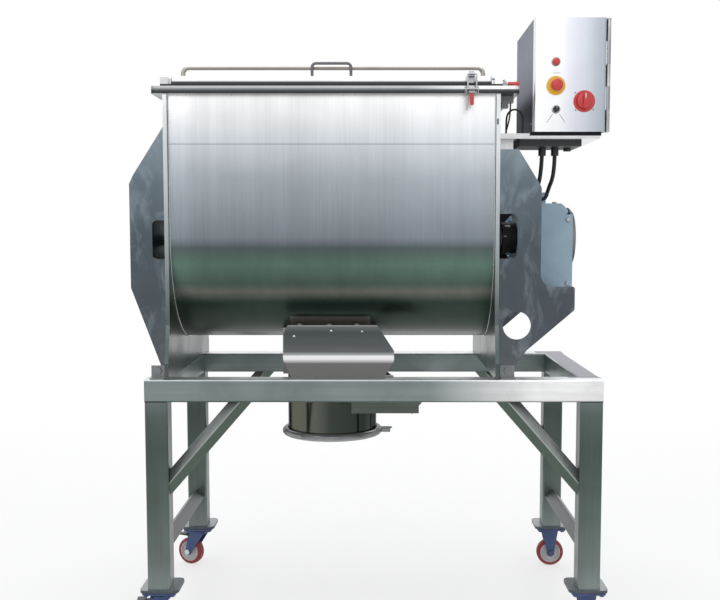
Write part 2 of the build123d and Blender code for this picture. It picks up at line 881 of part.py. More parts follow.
def make_gussets():
    # Gusset plates, their bridge, the drive and bearing plates and the brackets on the rails
    bridge = block(
        (end_right_face, end_right_face + right_gusset_ledge),
        (-end_plate_half_depth, end_plate_half_depth),
        (right_gusset_top, bridge_top),
    )
    drive_plate = block(
        (right_gusset_edge - drive_plate_lap, right_shelf_edge - drive_plate_inset), (-gusset_y, gusset_y),
        (gearbox_bottom - gearbox_plate_thick, gearbox_bottom),
    )
    bearing_plate = block(
        (bearing_plate_x, bearing_plate_x + bearing_plate_thick), (-gusset_y, gusset_y),
        (shaft_height - bearing_plate_half_height, shaft_height + bearing_plate_half_height),
    )
    bearing_plate -= rod_x(
        bearing_radius + bearing_plate_hole_gap, bearing_plate_x - 1,
        bearing_plate_x + bearing_plate_thick + 1, 0, shaft_height,
    )
    brackets = []
    bolts = []
    left_x = (end_left_face - bracket_left_gap - bracket_width, end_left_face - bracket_left_gap)
    right_x = (end_right_face + bracket_right_gap, end_right_face + bracket_right_gap + bracket_width)
    for x_low, x_high in (left_x, right_x):
        middle = (x_low + x_high) / 2
        for side in (-1, 1):
            near = side * end_plate_half_depth
            far = side * (end_plate_half_depth + bracket_thick)
            toe = side * (end_plate_half_depth + bracket_toe)
            upright = block(
                (x_low, x_high), (min(near, far), max(near, far)),
                (stand_top, stand_top + bracket_height),
            )
            toe_plate = block(
                (x_low, x_high), (min(near, toe), max(near, toe)),
                (stand_top, stand_top + bracket_thick),
            )
            brackets.append(upright + toe_plate)
            face = min(far, far + side * bracket_bolt_height)
            bolt_z = stand_top + bracket_bolt_rise
            bolts.append(hex_y(bracket_bolt, middle, bolt_z, face, face + bracket_bolt_height))
    return {
        "left_gussets": both_sides(left_gusset), "right_gussets": both_sides(right_gusset),
        "cross_plates": [bridge, drive_plate, bearing_plate], "foot_brackets": brackets + bolts,
    }


def helical_strip(inner_radius, outer_radius, thick, pitch, start_angle, left_handed):
    # A flat strip whose width stays radial while it winds about the shaft
    path = Helix(pitch, ribbon_length, (inner_radius + outer_radius) / 2, lefthand=left_handed)
    plane = Plane(origin=path.position_at(0), x_dir=(1, 0, 0), z_dir=path.tangent_at(0))
    strip = sweep(plane * Rectangle(outer_radius - inner_radius, thick), path=path, is_frenet=True)
    return Rot(0, 0, start_angle) * strip


def make_agitator():
    # Double ribbon agitator: two outer strips, two inner strips of opposite hand, flat arms
    frame = Pos(ribbon_left, 0, shaft_height) * Rot(0, 90, 0)
    outer_inner = ribbon_outer_radius - outer_ribbon_width
    inner_inner = inner_ribbon_outer_radius - inner_ribbon_width
    outer_strips = []
    inner_strips = []
    for half_turn in (0, 180):
        outer_start = half_turn - 360 * arm_inset / outer_pitch
        inner_start = half_turn + 360 * arm_inset / inner_pitch
        outer_strips.append(frame * helical_strip(
            outer_inner, ribbon_outer_radius, outer_ribbon_thick, outer_pitch, outer_start, False
        ))
        inner_strips.append(frame * helical_strip(
            inner_inner, inner_ribbon_outer_radius, inner_ribbon_thick, inner_pitch, inner_start, True
        ))
    arms = []
    core = Cylinder(shaft_radius, 2 * ribbon_length)
    for station in range(arm_stations):
        along = arm_inset + station * arm_pitch
        angle = 360 * station * arm_pitch / outer_pitch
        for half_turn in (0, 180):
            place = Rot(0, 0, angle + half_turn)
            for low, high in (
                (shaft_radius - 2, inner_inner - body_gap),
                (inner_ribbon_outer_radius + body_gap, outer_inner - body_gap),
            ):
                bar = block((low, high), (-arm_thick / 2, arm_thick / 2), (-arm_width / 2, arm_width / 2))
                arms.append(frame * (Pos(0, 0, along) * place * bar - core))
    left_step = trough_left + journal_inset
    right_step = trough_right - journal_inset
    shaft = rod_x(shaft_radius, left_step, right_step, 0, shaft_height)
    bearing_step = bearing_plate_x + journal_step
    shaft += rod_x(journal_radius, bearing_step, left_step, 0, shaft_height)
    shaft += rod_x(bearing_radius, shaft_left_end, bearing_step, 0, shaft_height)
    shaft += rod_x(journal_radius, right_step, coupling_left + coupling_hub_length, 0, shaft_height)
    hub = coupling_hub_length
    hubs = []
    for x_low, bore in ((coupling_left, journal_radius), (drive_hub_left, bearing_radius)):
        hubs.append(
            rod_x(coupling_radius, x_low, x_low + hub, 0, shaft_height)
            - rod_x(bore, x_low - 1, x_low + hub + 1, 0, shaft_height)
        )
    spider = rod_x(coupling_radius - spider_inset, coupling_left + hub, drive_hub_left, 0, shaft_height)
    output = rod_x(bearing_radius, drive_hub_left, output_shaft_end, 0, shaft_height)
    return {
        "outer_ribbons": outer_strips, "inner_ribbons": inner_strips, "ribbon_arms": arms,
        "main_shaft": [shaft], "drive_coupling": hubs + [spider, output],
    }


def shaft_seal(face_x, outward):
    # Packing gland on an end plate: flange, stuffing box and follower ring on studs
    def ring(radius, near, length):
        ends = sorted((face_x + outward * near, face_x + outward * (near + length)))
        bore = journal_radius + running_gap
        return rod_x(radius, *ends, 0, shaft_height) - rod_x(bore, ends[0] - 1, ends[1] + 1, 0, shaft_height)
    body = ring(seal_flange_radius, 0, seal_flange_thick)
    body += ring(seal_body_radius, seal_flange_thick, seal_body_length)
    follower = ring(seal_follower_radius, seal_flange_thick + seal_body_length, seal_follower_thick)
    return body + follower


def make_drive():
    # Seals, left flange bearing, geared motor with its terminal box
    seals_left = shaft_seal(end_left_face, -1)
    seals_right = shaft_seal(end_right_face, 1)
    flange_low = bearing_plate_x - bearing_flange_thick
    half = bearing_flange / 2
    bearing = block((flange_low, bearing_plate_x), (-half, half), (shaft_height - half, shaft_height + half))
    bearing = fillet(bearing.edges().filter_by(Axis.X), bearing_flange_corner)
    bearing += rod_x(bearing_boss_radius, flange_low - bearing_boss_length, flange_low, 0, shaft_height)
    bearing -= rod_x(bearing_radius + running_gap, flange_low - 20, bearing_plate_x + 1, 0, shaft_height)
    right = gearbox_right
    front = (-gearbox_half_depth, gearbox_half_depth)
    body = block((gearbox_left, right), front, (gearbox_bottom, gearbox_split))
    body -= rod_x(bearing_radius + running_gap, gearbox_left - 1, output_shaft_end + 2, 0, shaft_height)
    cover = plate_xz(
        [(gearbox_left, gearbox_split), (right - gearbox_cover_inset, gearbox_split),
         (right - gearbox_chamfer_x, gearbox_top), (gearbox_left, gearbox_top)],
        front[0], front[1], [0, 10, 14, 8],
    )
    cap_face = Plane.XY * Polygon(
        (0, 0), (gearbox_cap_radius, 0), (gearbox_cap_radius, gearbox_cap_rim),
        (gearbox_cap_radius - gearbox_cap_bevel, gearbox_cap_length),
        (0, gearbox_cap_length + gearbox_cap_crown), align=None,
    )
    cap = revolve(Plane.XZ * cap_face, axis=Axis.Z)
    cap = Pos(right, 0, shaft_height) * Rot(0, 90, 0) * cap
    flange = rod_y(motor_flange_radius, motor_x, front[1], motor_front, shaft_height)
    motor = rod_y(motor_radius, motor_x, motor_front, motor_back, shaft_height)
    for index in range(motor_fins):
        angle = motor_fins_start + index * motor_fins_span / (motor_fins - 1)
        fin = block(
            (motor_radius - 2, motor_radius + motor_fin_height), (motor_front + 8, motor_back - 4),
            (-motor_fin_thick / 2, motor_fin_thick / 2),
        )
        motor += Pos(motor_x, 0, shaft_height) * Rot(0, angle, 0) * fin
    cowl = rod_y(cowl_radius, motor_x, motor_back, motor_back + cowl_length, shaft_height)
    cowl = fillet(cowl.edges().filter_by(GeomType.CIRCLE).sort_by(Axis.Y)[-1], cowl_edge)
    terminal = block(
        terminal_x, (terminal_front, terminal_front + terminal_depth),
        (shaft_height + terminal_bottom_rise, shaft_height + terminal_rise),
    )
    terminal -= rod_y(motor_radius + cable_bore_gap, motor_x, motor_front, motor_back, shaft_height)
    terminal = fillet(terminal.edges().filter_by(Axis.Z), terminal_edge)
    glands = []
    for x in (power_cable_x, signal_cable_x):
        tip = terminal_front - gland_length
        bore = rod_y(
            cable_radius + cable_bore_gap, x, tip - 1, terminal_front - gland_bottom, terminal_gland_z
        )
        glands.append(rod_y(gland_radius, x, tip, terminal_front, terminal_gland_z) - bore)
    return {
        "shaft_seals": [seals_left, seals_right], "bearing_housing": [bearing],
        "gearbox_housing": [body, cover], "gearbox_end_cap": [cap],
        "gear_motor": [flange, motor, cowl, terminal], "electrical_fittings": glands,
    }


def bent_bar(points, radius, corner):
    # A round bar carried along a bent line
    path = FilletPolyline(*points, radius=corner)
    start = Plane(origin=path @ 0, z_dir=path % 0)
    return sweep(start * Circle(radius), path=path)


def make_lid():
    # Pan-shaped lid with its lifting bar, grip, hinges and latch catches
    outer = block((lid_left, lid_right), (-lid_half_depth, lid_half_depth), (lid_bottom, lid_top))
    outer = fillet(outer.edges().filter_by(Axis.Z), lid_corner)
    inner = block(
        (lid_left + lid_wall, lid_right - lid_wall),
        (-lid_half_depth + lid_wall, lid_half_depth - lid_wall), (lid_bottom - 1, lid_top - lid_wall),
    )
    pan = outer - inner
    bar = bent_bar(
        [(lid_bar_left, lid_bar_y, lid_top), (lid_bar_left, lid_bar_y, lid_bar_z),
         (lid_bar_right, lid_bar_y, lid_bar_z), (lid_bar_right, lid_bar_y, lid_top)],
        lid_bar_radius, lid_bar_corner,
    )
    grip = bent_bar(
        [(lid_grip_left, lid_grip_y, lid_top), (lid_grip_left, lid_grip_y, lid_grip_z),
         (lid_grip_right, lid_grip_y, lid_grip_z), (lid_grip_right, lid_grip_y, lid_top)],
        lid_grip_radius, lid_grip_corner,
    )
    ears = []
    leaves = []
    pins = []
    for x in lid_hinge_xs:
        half = lid_hinge_width / 2
        for low, high in ((x - half, x - half + lid_hinge_ear), (x + half - lid_hinge_ear, x + half)):
            ear = rod_x(lid_knuckle_radius, low, high, lid_hinge_y, lid_hinge_z)
            ear += block(
                (low, high), (rim_half_depth, lid_hinge_y + lid_knuckle_radius),
                (trough_top + 3, lid_hinge_z - 4),
            )
            ear -= rod_x(lid_hinge_pin_radius, low - 1, high + 1, lid_hinge_y, lid_hinge_z)
            ears.append(ear)
        low = x - half + lid_hinge_ear + body_gap
        high = x + half - lid_hinge_ear - body_gap
        leaf = rod_x(lid_knuckle_radius, low, high, lid_hinge_y, lid_hinge_z)
        leaf += block((low, high), (lid_half_depth, lid_hinge_y), (lid_hinge_z - 3, lid_top - 2))
        leaf -= rod_x(lid_hinge_pin_radius + running_gap, low - 1, high + 1, lid_hinge_y, lid_hinge_z)
        leaves.append(leaf)
        pins.append(rod_x(lid_hinge_pin_radius, x - half - 3, x + half + 3, lid_hinge_y, lid_hinge_z))
    catches = [make_catch(front_latch_plane(), front_latch_rise, lid_top - 4 - latch_pivot_z)]
    catches.append(end_catch())
    return {
        "lid_pan": [pan], "lid_handles": [bar, grip], "lid_fittings": leaves + catches,
        "rim_fittings": ears + pins,
    }


def front_latch_plane():
    return Plane(origin=(front_latch_x, -rim_half_depth, latch_pivot_z), x_dir=(1, 0, 0), z_dir=(0, 0, 1))


def end_latch_plane():
    return Plane(origin=(end_latch_x, end_latch_y, rim_top), x_dir=(0, 1, 0), z_dir=(-1, 0, 0))


def make_catch(plane, rise, foot):
    # Upturned nose on the lid, just behind the wire of the latch
    wire_y = -latch_pivot_out - latch_offset + front_wire_drop
    root = rim_half_depth - lid_half_depth
    nose_y = wire_y + latch_wire_radius + body_gap
    half = latch_wire_half_width - latch_wire_radius - 2
    back = block((-half, half), (root - 3, root), (foot - 16, rise + 10))
    nose = block((-half, half), (nose_y, root), (rise - 6, rise - 2))
    tip = block((-half, half), (nose_y, nose_y + 3), (rise - 6, rise - 1))
    return plane * (back + nose + tip)


def end_catch():
    # A claw on the lid's top that reaches over the wire at the right end of the rim
    plane = end_latch_plane()
    half = latch_wire_half_width - latch_wire_radius - 2
    top = lid_top - rim_top
    claw_end = end_latch_rise - latch_wire_radius - 1 - latch_nose_thick
    strip = block((-half, half), (-top - latch_nose_thick, -top), (claw_end, end_latch_x - lid_right + 32))
    lip = block((-half, half), (-top - latch_nose_thick, -top + 5), (claw_end, claw_end + latch_nose_thick))
    return plane * (strip + lip)


def make_latch(plane, rise, wire_drop):
    # Over-centre latch: base on the rim, lever with a red grip and a wire hook
    half = latch_base_width / 2
    base = block((-half, half), (-latch_base_thick, 0), (-latch_base_length / 2, latch_base_length / 2))
    ear_out = latch_wire_half_width + latch_wire_radius + 4
    for side in (-1, 1):
        xs = sorted((side * (ear_out - 2.5), side * ear_out))
        base += block(xs, (-latch_pivot_out - 5, -latch_base_thick), (-7, 7))
    base -= rod_x(latch_pin_radius, -half - 1, half + 1, -latch_pivot_out, 0)
    pin = rod_x(latch_pin_radius, -ear_out - 2, ear_out + 2, -latch_pivot_out, 0)
    wall = latch_wire_half_width - latch_wire_radius - 1
    axis_y = -latch_pivot_out
    lever = block((-wall, wall), (axis_y - 6, axis_y + 6), (-latch_stub, 6))
    lever += block((-wall, wall), (axis_y - latch_offset - 5, axis_y), (-5, 5))
    lever -= rod_x(latch_pin_radius + running_gap, -half, half, axis_y, 0)
    lever -= rod_x(latch_wire_radius + running_gap, -half, half, axis_y - latch_offset, 0)
    grip = block(
        (-latch_grip_width / 2, latch_grip_width / 2), (axis_y - 6, axis_y + 6),
        (-latch_stub - latch_grip_length, -latch_stub),
    )
    grip = fillet(grip.edges().filter_by(Axis.Z), latch_grip_edge)
    wire_y = axis_y - latch_offset
    top_y = wire_y + wire_drop
    wide = latch_wire_half_width
    points = [(-wide, wire_y, 0), (-wide, top_y, rise), (wide, top_y, rise), (wide, wire_y, 0)]
    wire = bent_bar(points, latch_wire_radius, latch_wire_corner)
    axle = rod_x(latch_wire_radius, -wide - 2.5, wide + 2.5, wire_y, 0)
    return plane * base, plane * pin, plane * lever, plane * grip, plane * (wire + axle)


def make_latches():
    nodes = {"rim_fittings": []}
    places = [
        ("front", front_latch_plane(), front_latch_rise, front_wire_drop),
        ("end", end_latch_plane(), end_latch_rise, 0),
    ]
    for name, plane, rise, drop in places:
        base, pin, lever, grip, wire = make_latch(plane, rise, drop)
        nodes["rim_fittings"] += [base, pin]
        nodes["latch_lever_" + name] = [lever, grip]
        nodes["latch_hook_" + name] = [wire]
    return nodes


def make_control_box():
    # Deep cabinet on a shelf, with a hinged door and its controls
    body = block((box_left, box_right), (box_front + door_depth, box_back), (box_bottom, box_top))
    body -= block(
        (box_left + box_wall, box_right - box_wall), (box_front, box_back - box_wall),
        (box_bottom + box_wall, box_top - box_wall),
    )
    door_face = Pos((box_left + box_right) / 2, 0, (box_bottom + box_top) / 2)
    door = door_face * Pos(0, box_front + (door_depth - body_gap) / 2, 0) * Box(
        box_right - box_left, door_depth - body_gap, box_top - box_bottom
    )
    door = fillet(door.edges().filter_by(Axis.Z).sort_by(Axis.Y)[:2], door_corner)
    door -= block(
        (box_left + box_wall, box_right - box_wall), (box_front + box_wall, box_back),
        (box_bottom + box_wall, box_top - box_wall),
    )
    plate_back = box_back - gear_plate_margin
    gear_back = plate_back - gear_plate_thick
    plate = block(
        (box_left + gear_plate_inset, box_right - gear_plate_inset), (gear_back, plate_back),
        (box_bottom + gear_plate_margin, box_top - gear_plate_margin),
    )
    studs = [
        rod_y(gear_stud_radius, x, plate_back, box_back - box_wall, z)
        for x in (box_left + gear_stud_inset, box_right - gear_stud_inset)
        for z in (box_bottom + gear_stud_margin, box_top - gear_stud_margin)
    ]
    gear = make_switchgear(gear_back)
    pin = rod_z(door_hinge_pin_radius, door_hinge_x, door_hinge_y, box_bottom, box_top)
    fixed = []
    moving = []
    step = (box_top - box_bottom) / door_knuckles
    for index in range(door_knuckles):
        low = box_bottom + index * step + body_gap / 2
        high = low + step - body_gap
        knuckle = rod_z(door_hinge_radius, door_hinge_x, door_hinge_y, low, high)
        if index % 2:
            knuckle += block(
                (box_right, door_hinge_x), (door_hinge_y - door_hinge_leaf, door_hinge_y), (low, high)
            )
            bore = rod_z(door_hinge_pin_radius + running_gap, door_hinge_x, door_hinge_y, low - 1, high + 1)
            moving.append(knuckle - bore)
        else:
            seam = box_front + door_depth
            outside = door_hinge_x + door_hinge_radius
            leaf = door_hinge_leaf
            knuckle += block((box_right, box_right + leaf), (seam, seam + door_hinge_leaf_depth), (low, high))
            knuckle += block((box_right, outside), (seam, seam + leaf), (low, high))
            knuckle += block((door_hinge_x, outside), (door_hinge_y, seam + leaf), (low, high))
            bore = rod_z(door_hinge_pin_radius, door_hinge_x, door_hinge_y, low - 1, high + 1)
            fixed.append(knuckle - bore)
    nodes = {
        "control_box_body": [body], "control_door": [door] + moving,
        "control_gear": [plate] + studs + gear, "door_hinge": fixed + [pin],
    }
    return nodes


def make_switchgear(back):
    # Drive unit, contactors and terminal row that share the mounting plate
    left = box_left + gear_stud_inset
    right = box_right - gear_stud_inset + 2
    low = box_bottom + gear_margin
    high = box_top - gear_margin + gear_gap
    middle = left + drive_unit_width + gear_gap
    terminals_top = low + terminals_height
    drive_bottom = terminals_top + drive_unit_lift
    relay_top = high - relay_drop
    return [
        block((left, middle - gear_gap), (back - drive_unit_depth, back), (drive_bottom, high)),
        block((middle, right), (back - contactor_depth, back), (high - contactor_height, high)),
        block((middle, right), (back - relay_depth, back), (relay_top - relay_height, relay_top)),
        block((left, right), (back - terminals_depth, back), (low, terminals_top)),
    ]


def panel_disc(centre, radius, low, high):
    # A disc on the door; low and high are distances in front of its face
    return rod_y(radius, centre[0], box_front - high, box_front - low, centre[1])


def make_controls():
    lamp_ring = panel_disc(lamp_at, lamp_radius, 0, ring_thick)
    lamp_lens = panel_disc(lamp_at, lamp_radius - lamp_bezel, ring_thick, lamp_height)
    lamp_lens = fillet(lamp_lens.edges().filter_by(GeomType.CIRCLE).sort_by(Axis.Y)[0], 4)
    stop_plate = panel_disc(stop_at, stop_plate_radius, 0, stop_plate_thick)
    collar_top = stop_plate_thick + stop_collar_height
    stop_plate += panel_disc(stop_at, stop_stem_radius + stop_collar, stop_plate_thick, collar_top)
    stop_plate -= panel_disc(stop_at, stop_stem_radius + stop_stem_gap, 0, collar_top + 1)
    head_low = collar_top + stop_travel + body_gap
    button = panel_disc(stop_at, stop_stem_radius, stop_travel + 1, head_low)
    head = panel_disc(stop_at, stop_head_radius, head_low, head_low + stop_head_height)
    head = fillet(head.edges().filter_by(GeomType.CIRCLE).sort_by(Axis.Y)[0], stop_head_edge)
    key_ring = panel_disc(key_at, key_radius, 0, ring_thick)
    key_knob = panel_disc(key_at, key_radius - 4, ring_thick + body_gap, key_height)
    width, height, length = key_grip
    key_knob += block(
        (key_at[0] - width / 2, key_at[0] + width / 2),
        (box_front - key_height - height, box_front - key_height),
        (key_at[1] - length / 2, key_at[1] + length / 2),
    )
    half = isolator_plate / 2
    x, z = isolator_at
    plate = block(
        (x - half, x + half), (box_front - isolator_plate_thick, box_front), (z - half, z + half)
    )
    plate = fillet(plate.edges().filter_by(Axis.Y), isolator_plate_corner)
    knob = panel_disc(isolator_at, isolator_radius, isolator_plate_thick + body_gap, isolator_height)
    width, height = isolator_grip
    knob += block(
        (x - width / 2, x + width / 2), (box_front - isolator_height - height, box_front - isolator_height),
        (z - isolator_radius, z + isolator_radius),
    )
    return {
        "door_fittings": [lamp_ring, lamp_lens, key_ring, plate],
        "emergency_stop_plate": [stop_plate], "emergency_stop_button": [button + head],
        "key_switch_knob": [key_knob], "isolator_knob": [knob],
    }


def make_shelf():
    band = block(
        (box_left - band_left_lap, box_right - band_right_inset),
        (box_front + band_inset, box_back - band_inset), (shelf_top, box_bottom),
    )
    shelf_front = box_front - shelf_overhang
    shelf = block(
        (end_right_face, box_right - shelf_right_inset), (shelf_front, box_back + shelf_overhang),
        (shelf_bottom, shelf_top),
    )
    shelf += block(
        (end_right_face, box_left - shelf_ledge_inset), (shelf_front, shelf_front + shelf_ledge_depth),
        (shelf_bottom, shelf_bottom + shelf_ledge_height),
    )
    post_x = (end_right_face, end_right_face + shelf_post)
    half = shelf_post_width / 2
    posts = [block(post_x, (y - half, y + half), (bridge_top, shelf_bottom)) for y in shelf_post_ys]
    cable_box_front = box_front + cable_box_front_inset
    cable_box = block(
        (box_left - cable_box_left_lap, box_right - cable_box_right_inset),
        (cable_box_front, cable_box_front + cable_box_depth), (cable_box_bottom, shelf_bottom),
    )
    glands = []
    gland_top = cable_box_bottom
    tip = gland_top - gland_length
    for x in (power_cable_x, signal_cable_x):
        bore = rod_z(cable_radius + cable_bore_gap, x, gland_y, tip - 1, gland_top - gland_bottom)
        glands.append(rod_z(gland_radius, x, gland_y, tip, gland_top) - bore)
    glands.append(rod_z(gland_radius, spare_gland_x, gland_y, gland_top - spare_gland_length, gland_top))
    switch_bottom = trough_top - lid_switch_height
    switch = block(
        (end_right_face, end_right_face + lid_switch_reach), lid_switch_y, (switch_bottom, trough_top)
    )
    switch += block(
        [end_right_face + x for x in lid_switch_head_x], lid_switch_y,
        (switch_bottom - lid_switch_head_height, switch_bottom),
    )
    return {
        "control_shelf": [shelf, band, cable_box] + posts, "electrical_fittings": glands + [switch],
    }


def cord_radii(points):
    # Each bend's radius: 0.45 of the shorter run over the tangent of half the turn
    vectors = [Vector(*p) for p in points]
    radii = []
    for before, here, after in zip(vectors, vectors[1:], vectors[2:]):
        turn = (here - before).get_angle(after - here)
        run = min((here - before).length, (after - here).length)
        radii.append(0.45 * run / math.tan(math.radians(turn) / 2))
    return radii


def make_cord(name, points, radius):
    # A cable as straight runs joined by tangent arcs
    radii = cord_radii(points)
    path = FilletPolyline(*points, radius=radii)
    start = Plane(origin=path @ 0, z_dir=path % 0)
    cord = sweep(start * Circle(radius), path=path)
    expected = math.pi * radius ** 2 * path.length
    print(name, "length", round(path.length), "radii", [round(r) for r in radii],
          "volume ratio", round(cord.volume / expected, 4))
    return cord


def make_cables():
    gland_tip = cable_box_bottom - gland_length + 10
    end_y = terminal_front - 12
    drop_z = gland_tip - 62

    def motor_cable(x, drift):
        return [
            (x, gland_y, gland_tip), (x, gland_y, drop_z), (x + drift, gland_y + 42, drop_z - 50),
            (x + drift, gland_y + 122, terminal_gland_z + 8), (x + drift / 2, -20, terminal_gland_z - 2),
            (x, 90, terminal_gland_z), (x, end_y, terminal_gland_z),
        ]

    switch_x = end_right_face + 38
    switch_y = -276
    switch_cable = [
        (switch_x, switch_y, trough_top - 20), (switch_x, switch_y, trough_top - 50),
        (switch_x - 6, switch_y + 3, trough_top - 85), (switch_x - 17, switch_y, shelf_top + 1),
    ]
    loop_y = -255
    loop_left = box_left - loop_start
    loop_right = loop_left + 2 * loop_radius
    middle = loop_left + loop_radius
    flat = loop_radius * math.tan(math.radians(22.5))
    top = shelf_top + loop_rise
    corner = top - loop_radius + flat
    loop = [
        (loop_left, loop_y, shelf_top + 1), (loop_left, loop_y + 1, shelf_top + loop_straight),
        (loop_left, loop_y + 2, corner), (middle - flat, loop_y + 4, top),
        (middle + flat, loop_y + 6, top), (loop_right, loop_y + 8, corner),
        (loop_right, loop_y + 9, shelf_top + loop_straight), (loop_right, loop_y + 10, shelf_top + 1),
    ]
    return {
        "motor_power_cable": [make_cord("motor_power_cable", motor_cable(power_cable_x, 5), cable_radius)],
        "motor_signal_cable": [
            make_cord("motor_signal_cable", motor_cable(signal_cable_x, -4), cable_radius)
        ],
        "lid_switch_cable": [make_cord("lid_switch_cable", switch_cable, thin_cable_radius)],
        "box_loop_cable": [make_cord("box_loop_cable", loop, loop_cable_radius)],
    }


def make_discharge():
    # Saddle plate, flap chamber, spout with its clamp ring, flap and slotted-crank drive
    pipe = rod_x(trough_outer_radius + body_gap, trough_left, trough_right, 0, shaft_height)
    x_low = outlet_x - chamber_half_x
    x_high = outlet_x + chamber_half_x
    chamber = block((x_low, x_high), (-chamber_half_y, chamber_half_y), (chamber_bottom, chamber_top))
    chamber -= block(
        (x_low + chamber_wall, x_high - chamber_wall),
        (-chamber_half_y + chamber_wall, chamber_half_y - chamber_wall), (chamber_bottom - 1, shaft_height),
    )
    chamber -= pipe
    bearing_bore = flap_shaft_radius + running_gap
    chamber -= rod_y(bearing_bore, flap_pivot_x, -chamber_half_y - 1, chamber_half_y + 1, flap_pivot_z)
    bearings = []
    for side in (-1, 1):
        ends = sorted((side * chamber_half_y, side * (chamber_half_y + chamber_boss_length)))
        boss = rod_y(chamber_boss_radius, flap_pivot_x, *ends, flap_pivot_z)
        bearings.append(boss - rod_y(bearing_bore, flap_pivot_x, ends[0] - 1, ends[1] + 1, flap_pivot_z))
    saddles = []
    saddle_bolts = []
    for side in (-1, 1):
        ends = sorted((side * saddle_plate_start, side * saddle_plate_reach))
        saddle = block(
            (outlet_x - saddle_plate_half_x, outlet_x + saddle_plate_half_x), ends,
            (saddle_plate_z, saddle_plate_z + saddle_plate_thick),
        )
        corner_y = side * saddle_plate_reach
        corners = [e for e in saddle.edges().filter_by(Axis.Z) if abs(e.center().Y - corner_y) < 1]
        saddle = fillet(corners, saddle_corner) - pipe
        saddles.append(saddle)
        top = saddle_plate_z + saddle_plate_thick
        bolt_y = side * (saddle_plate_reach - saddle_bolt_inset)
        for x in saddle_bolt_xs:
            saddle_bolts.append(hex_z(saddle_bolt, outlet_x + x, bolt_y, top, top + saddle_bolt_height))
    floor_z = chamber_bottom - spout_flange_thick
    spout_flange = block((x_low, x_high), (-chamber_half_y, chamber_half_y), (floor_z, chamber_bottom))
    spout_bore = spout_radius - spout_wall
    spout_flange -= rod_z(spout_bore, outlet_x, 0, floor_z - 1, chamber_bottom + 1)
    spout = round_ring(spout_radius, spout_bore, outlet_x, 0, spout_bottom, floor_z)
    spout += round_ring(ferrule_radius, spout_bore, outlet_x, 0, spout_bottom, spout_bottom + ferrule_thick)
    clamp_low = spout_bottom - clamp_lap
    clamp_high = clamp_low + clamp_height
    clamp = round_ring(clamp_radius, spout_radius + clamp_bore_gap, outlet_x, 0, clamp_low, clamp_high)
    clamp -= rod_z(
        ferrule_radius + body_gap, outlet_x, 0,
        spout_bottom - body_gap, spout_bottom + ferrule_thick + body_gap,
    )
    clamp_rims = [e for e in clamp.edges().filter_by(GeomType.CIRCLE) if e.radius > clamp_radius - 1]
    clamp = fillet(clamp_rims, clamp_lap)
    lug_x = outlet_x + clamp_radius
    for side in (-1, 1):
        lug = sorted((side * clamp_lug_inner, side * clamp_lug_outer))
        clamp += block(
            (lug_x - clamp_lug_root, lug_x + clamp_lug_reach), lug,
            (clamp_low + clamp_lug_margin, clamp_high - clamp_lug_margin),
        )
    nut_z = (clamp_low + clamp_high) / 2
    nut_x = lug_x + wing_nut_x
    wing_y = (clamp_lug_outer + 2, clamp_lug_outer + 2 + wing_thick)
    wing = rod_y(wing_nut_radius, nut_x, clamp_lug_outer, wing_y[1] + 2, nut_z)
    wing += block((nut_x - wing_length, nut_x + wing_length), wing_y, (nut_z - 4, nut_z + 4))
    for side in (-1, 1):
        tip = sorted((side * (wing_tip - wing_tip_width), side * wing_tip))
        wing += block([nut_x + x for x in tip], wing_y, (nut_z - 4, nut_z + wing_rise))
    nodes = {
        "flap_chamber": [chamber] + bearings + saddles + saddle_bolts,
        "discharge_spout": [spout_flange + spout], "spout_clamp_ring": [clamp, wing],
        "valve_guard": [make_guard(), make_guard_tab()],
    }
    nodes.update(make_flap())
    return nodes


def make_guard():
    # Bent cover in front of the crank, with sloping sides
    top = (-saddle_plate_reach - guard_top_gap, trough_bottom + guard_top_rise)
    end = (-rail_inner_y - guard_end_lap, stand_top + guard_end_lift)
    fold = (end[0] - guard_fold_out, trough_bottom - guard_fold_drop)
    low = (end[0] - guard_low_out, trough_bottom - guard_low_drop)
    inner = [
        (top[0] + 1, top[1] - guard_thick), (fold[0] + guard_thick, fold[1] - 1),
        (low[0] + guard_thick, low[1]), (end[0] + guard_thick, end[1]),
    ]
    strip = plate_yz(inner + [end, low, fold, top], outlet_x - guard_blank, outlet_x + guard_blank)
    left = outlet_x - guard_left
    right = outlet_x + guard_right
    outline = [
        (left + 18, top[1] + 16), (right - 64, top[1] + 16), (right, fold[1] + 13), (right, low[1] - 4),
        (right - 38, end[1] - 12), (left + 34, end[1] - 12), (left + 6, low[1]), (left, top[1] - 24),
    ]
    radii = [24, 16, 8, 10, 0, 0, 14, 10]
    return strip & plate_xz(outline, -stand_depth / 2, -chamber_half_y, radii)


def make_guard_tab():
    # Small angle that ties the guard to the front rail
    x_low = outlet_x + guard_tab_reach
    y_low = -rail_inner_y - guard_end_lap + guard_thick + body_gap
    return block(
        (x_low, x_low + guard_tab_width), (y_low, -rail_inner_y + guard_end_lap - 2),
        (stand_top, stand_top + guard_tab_thick),
    )


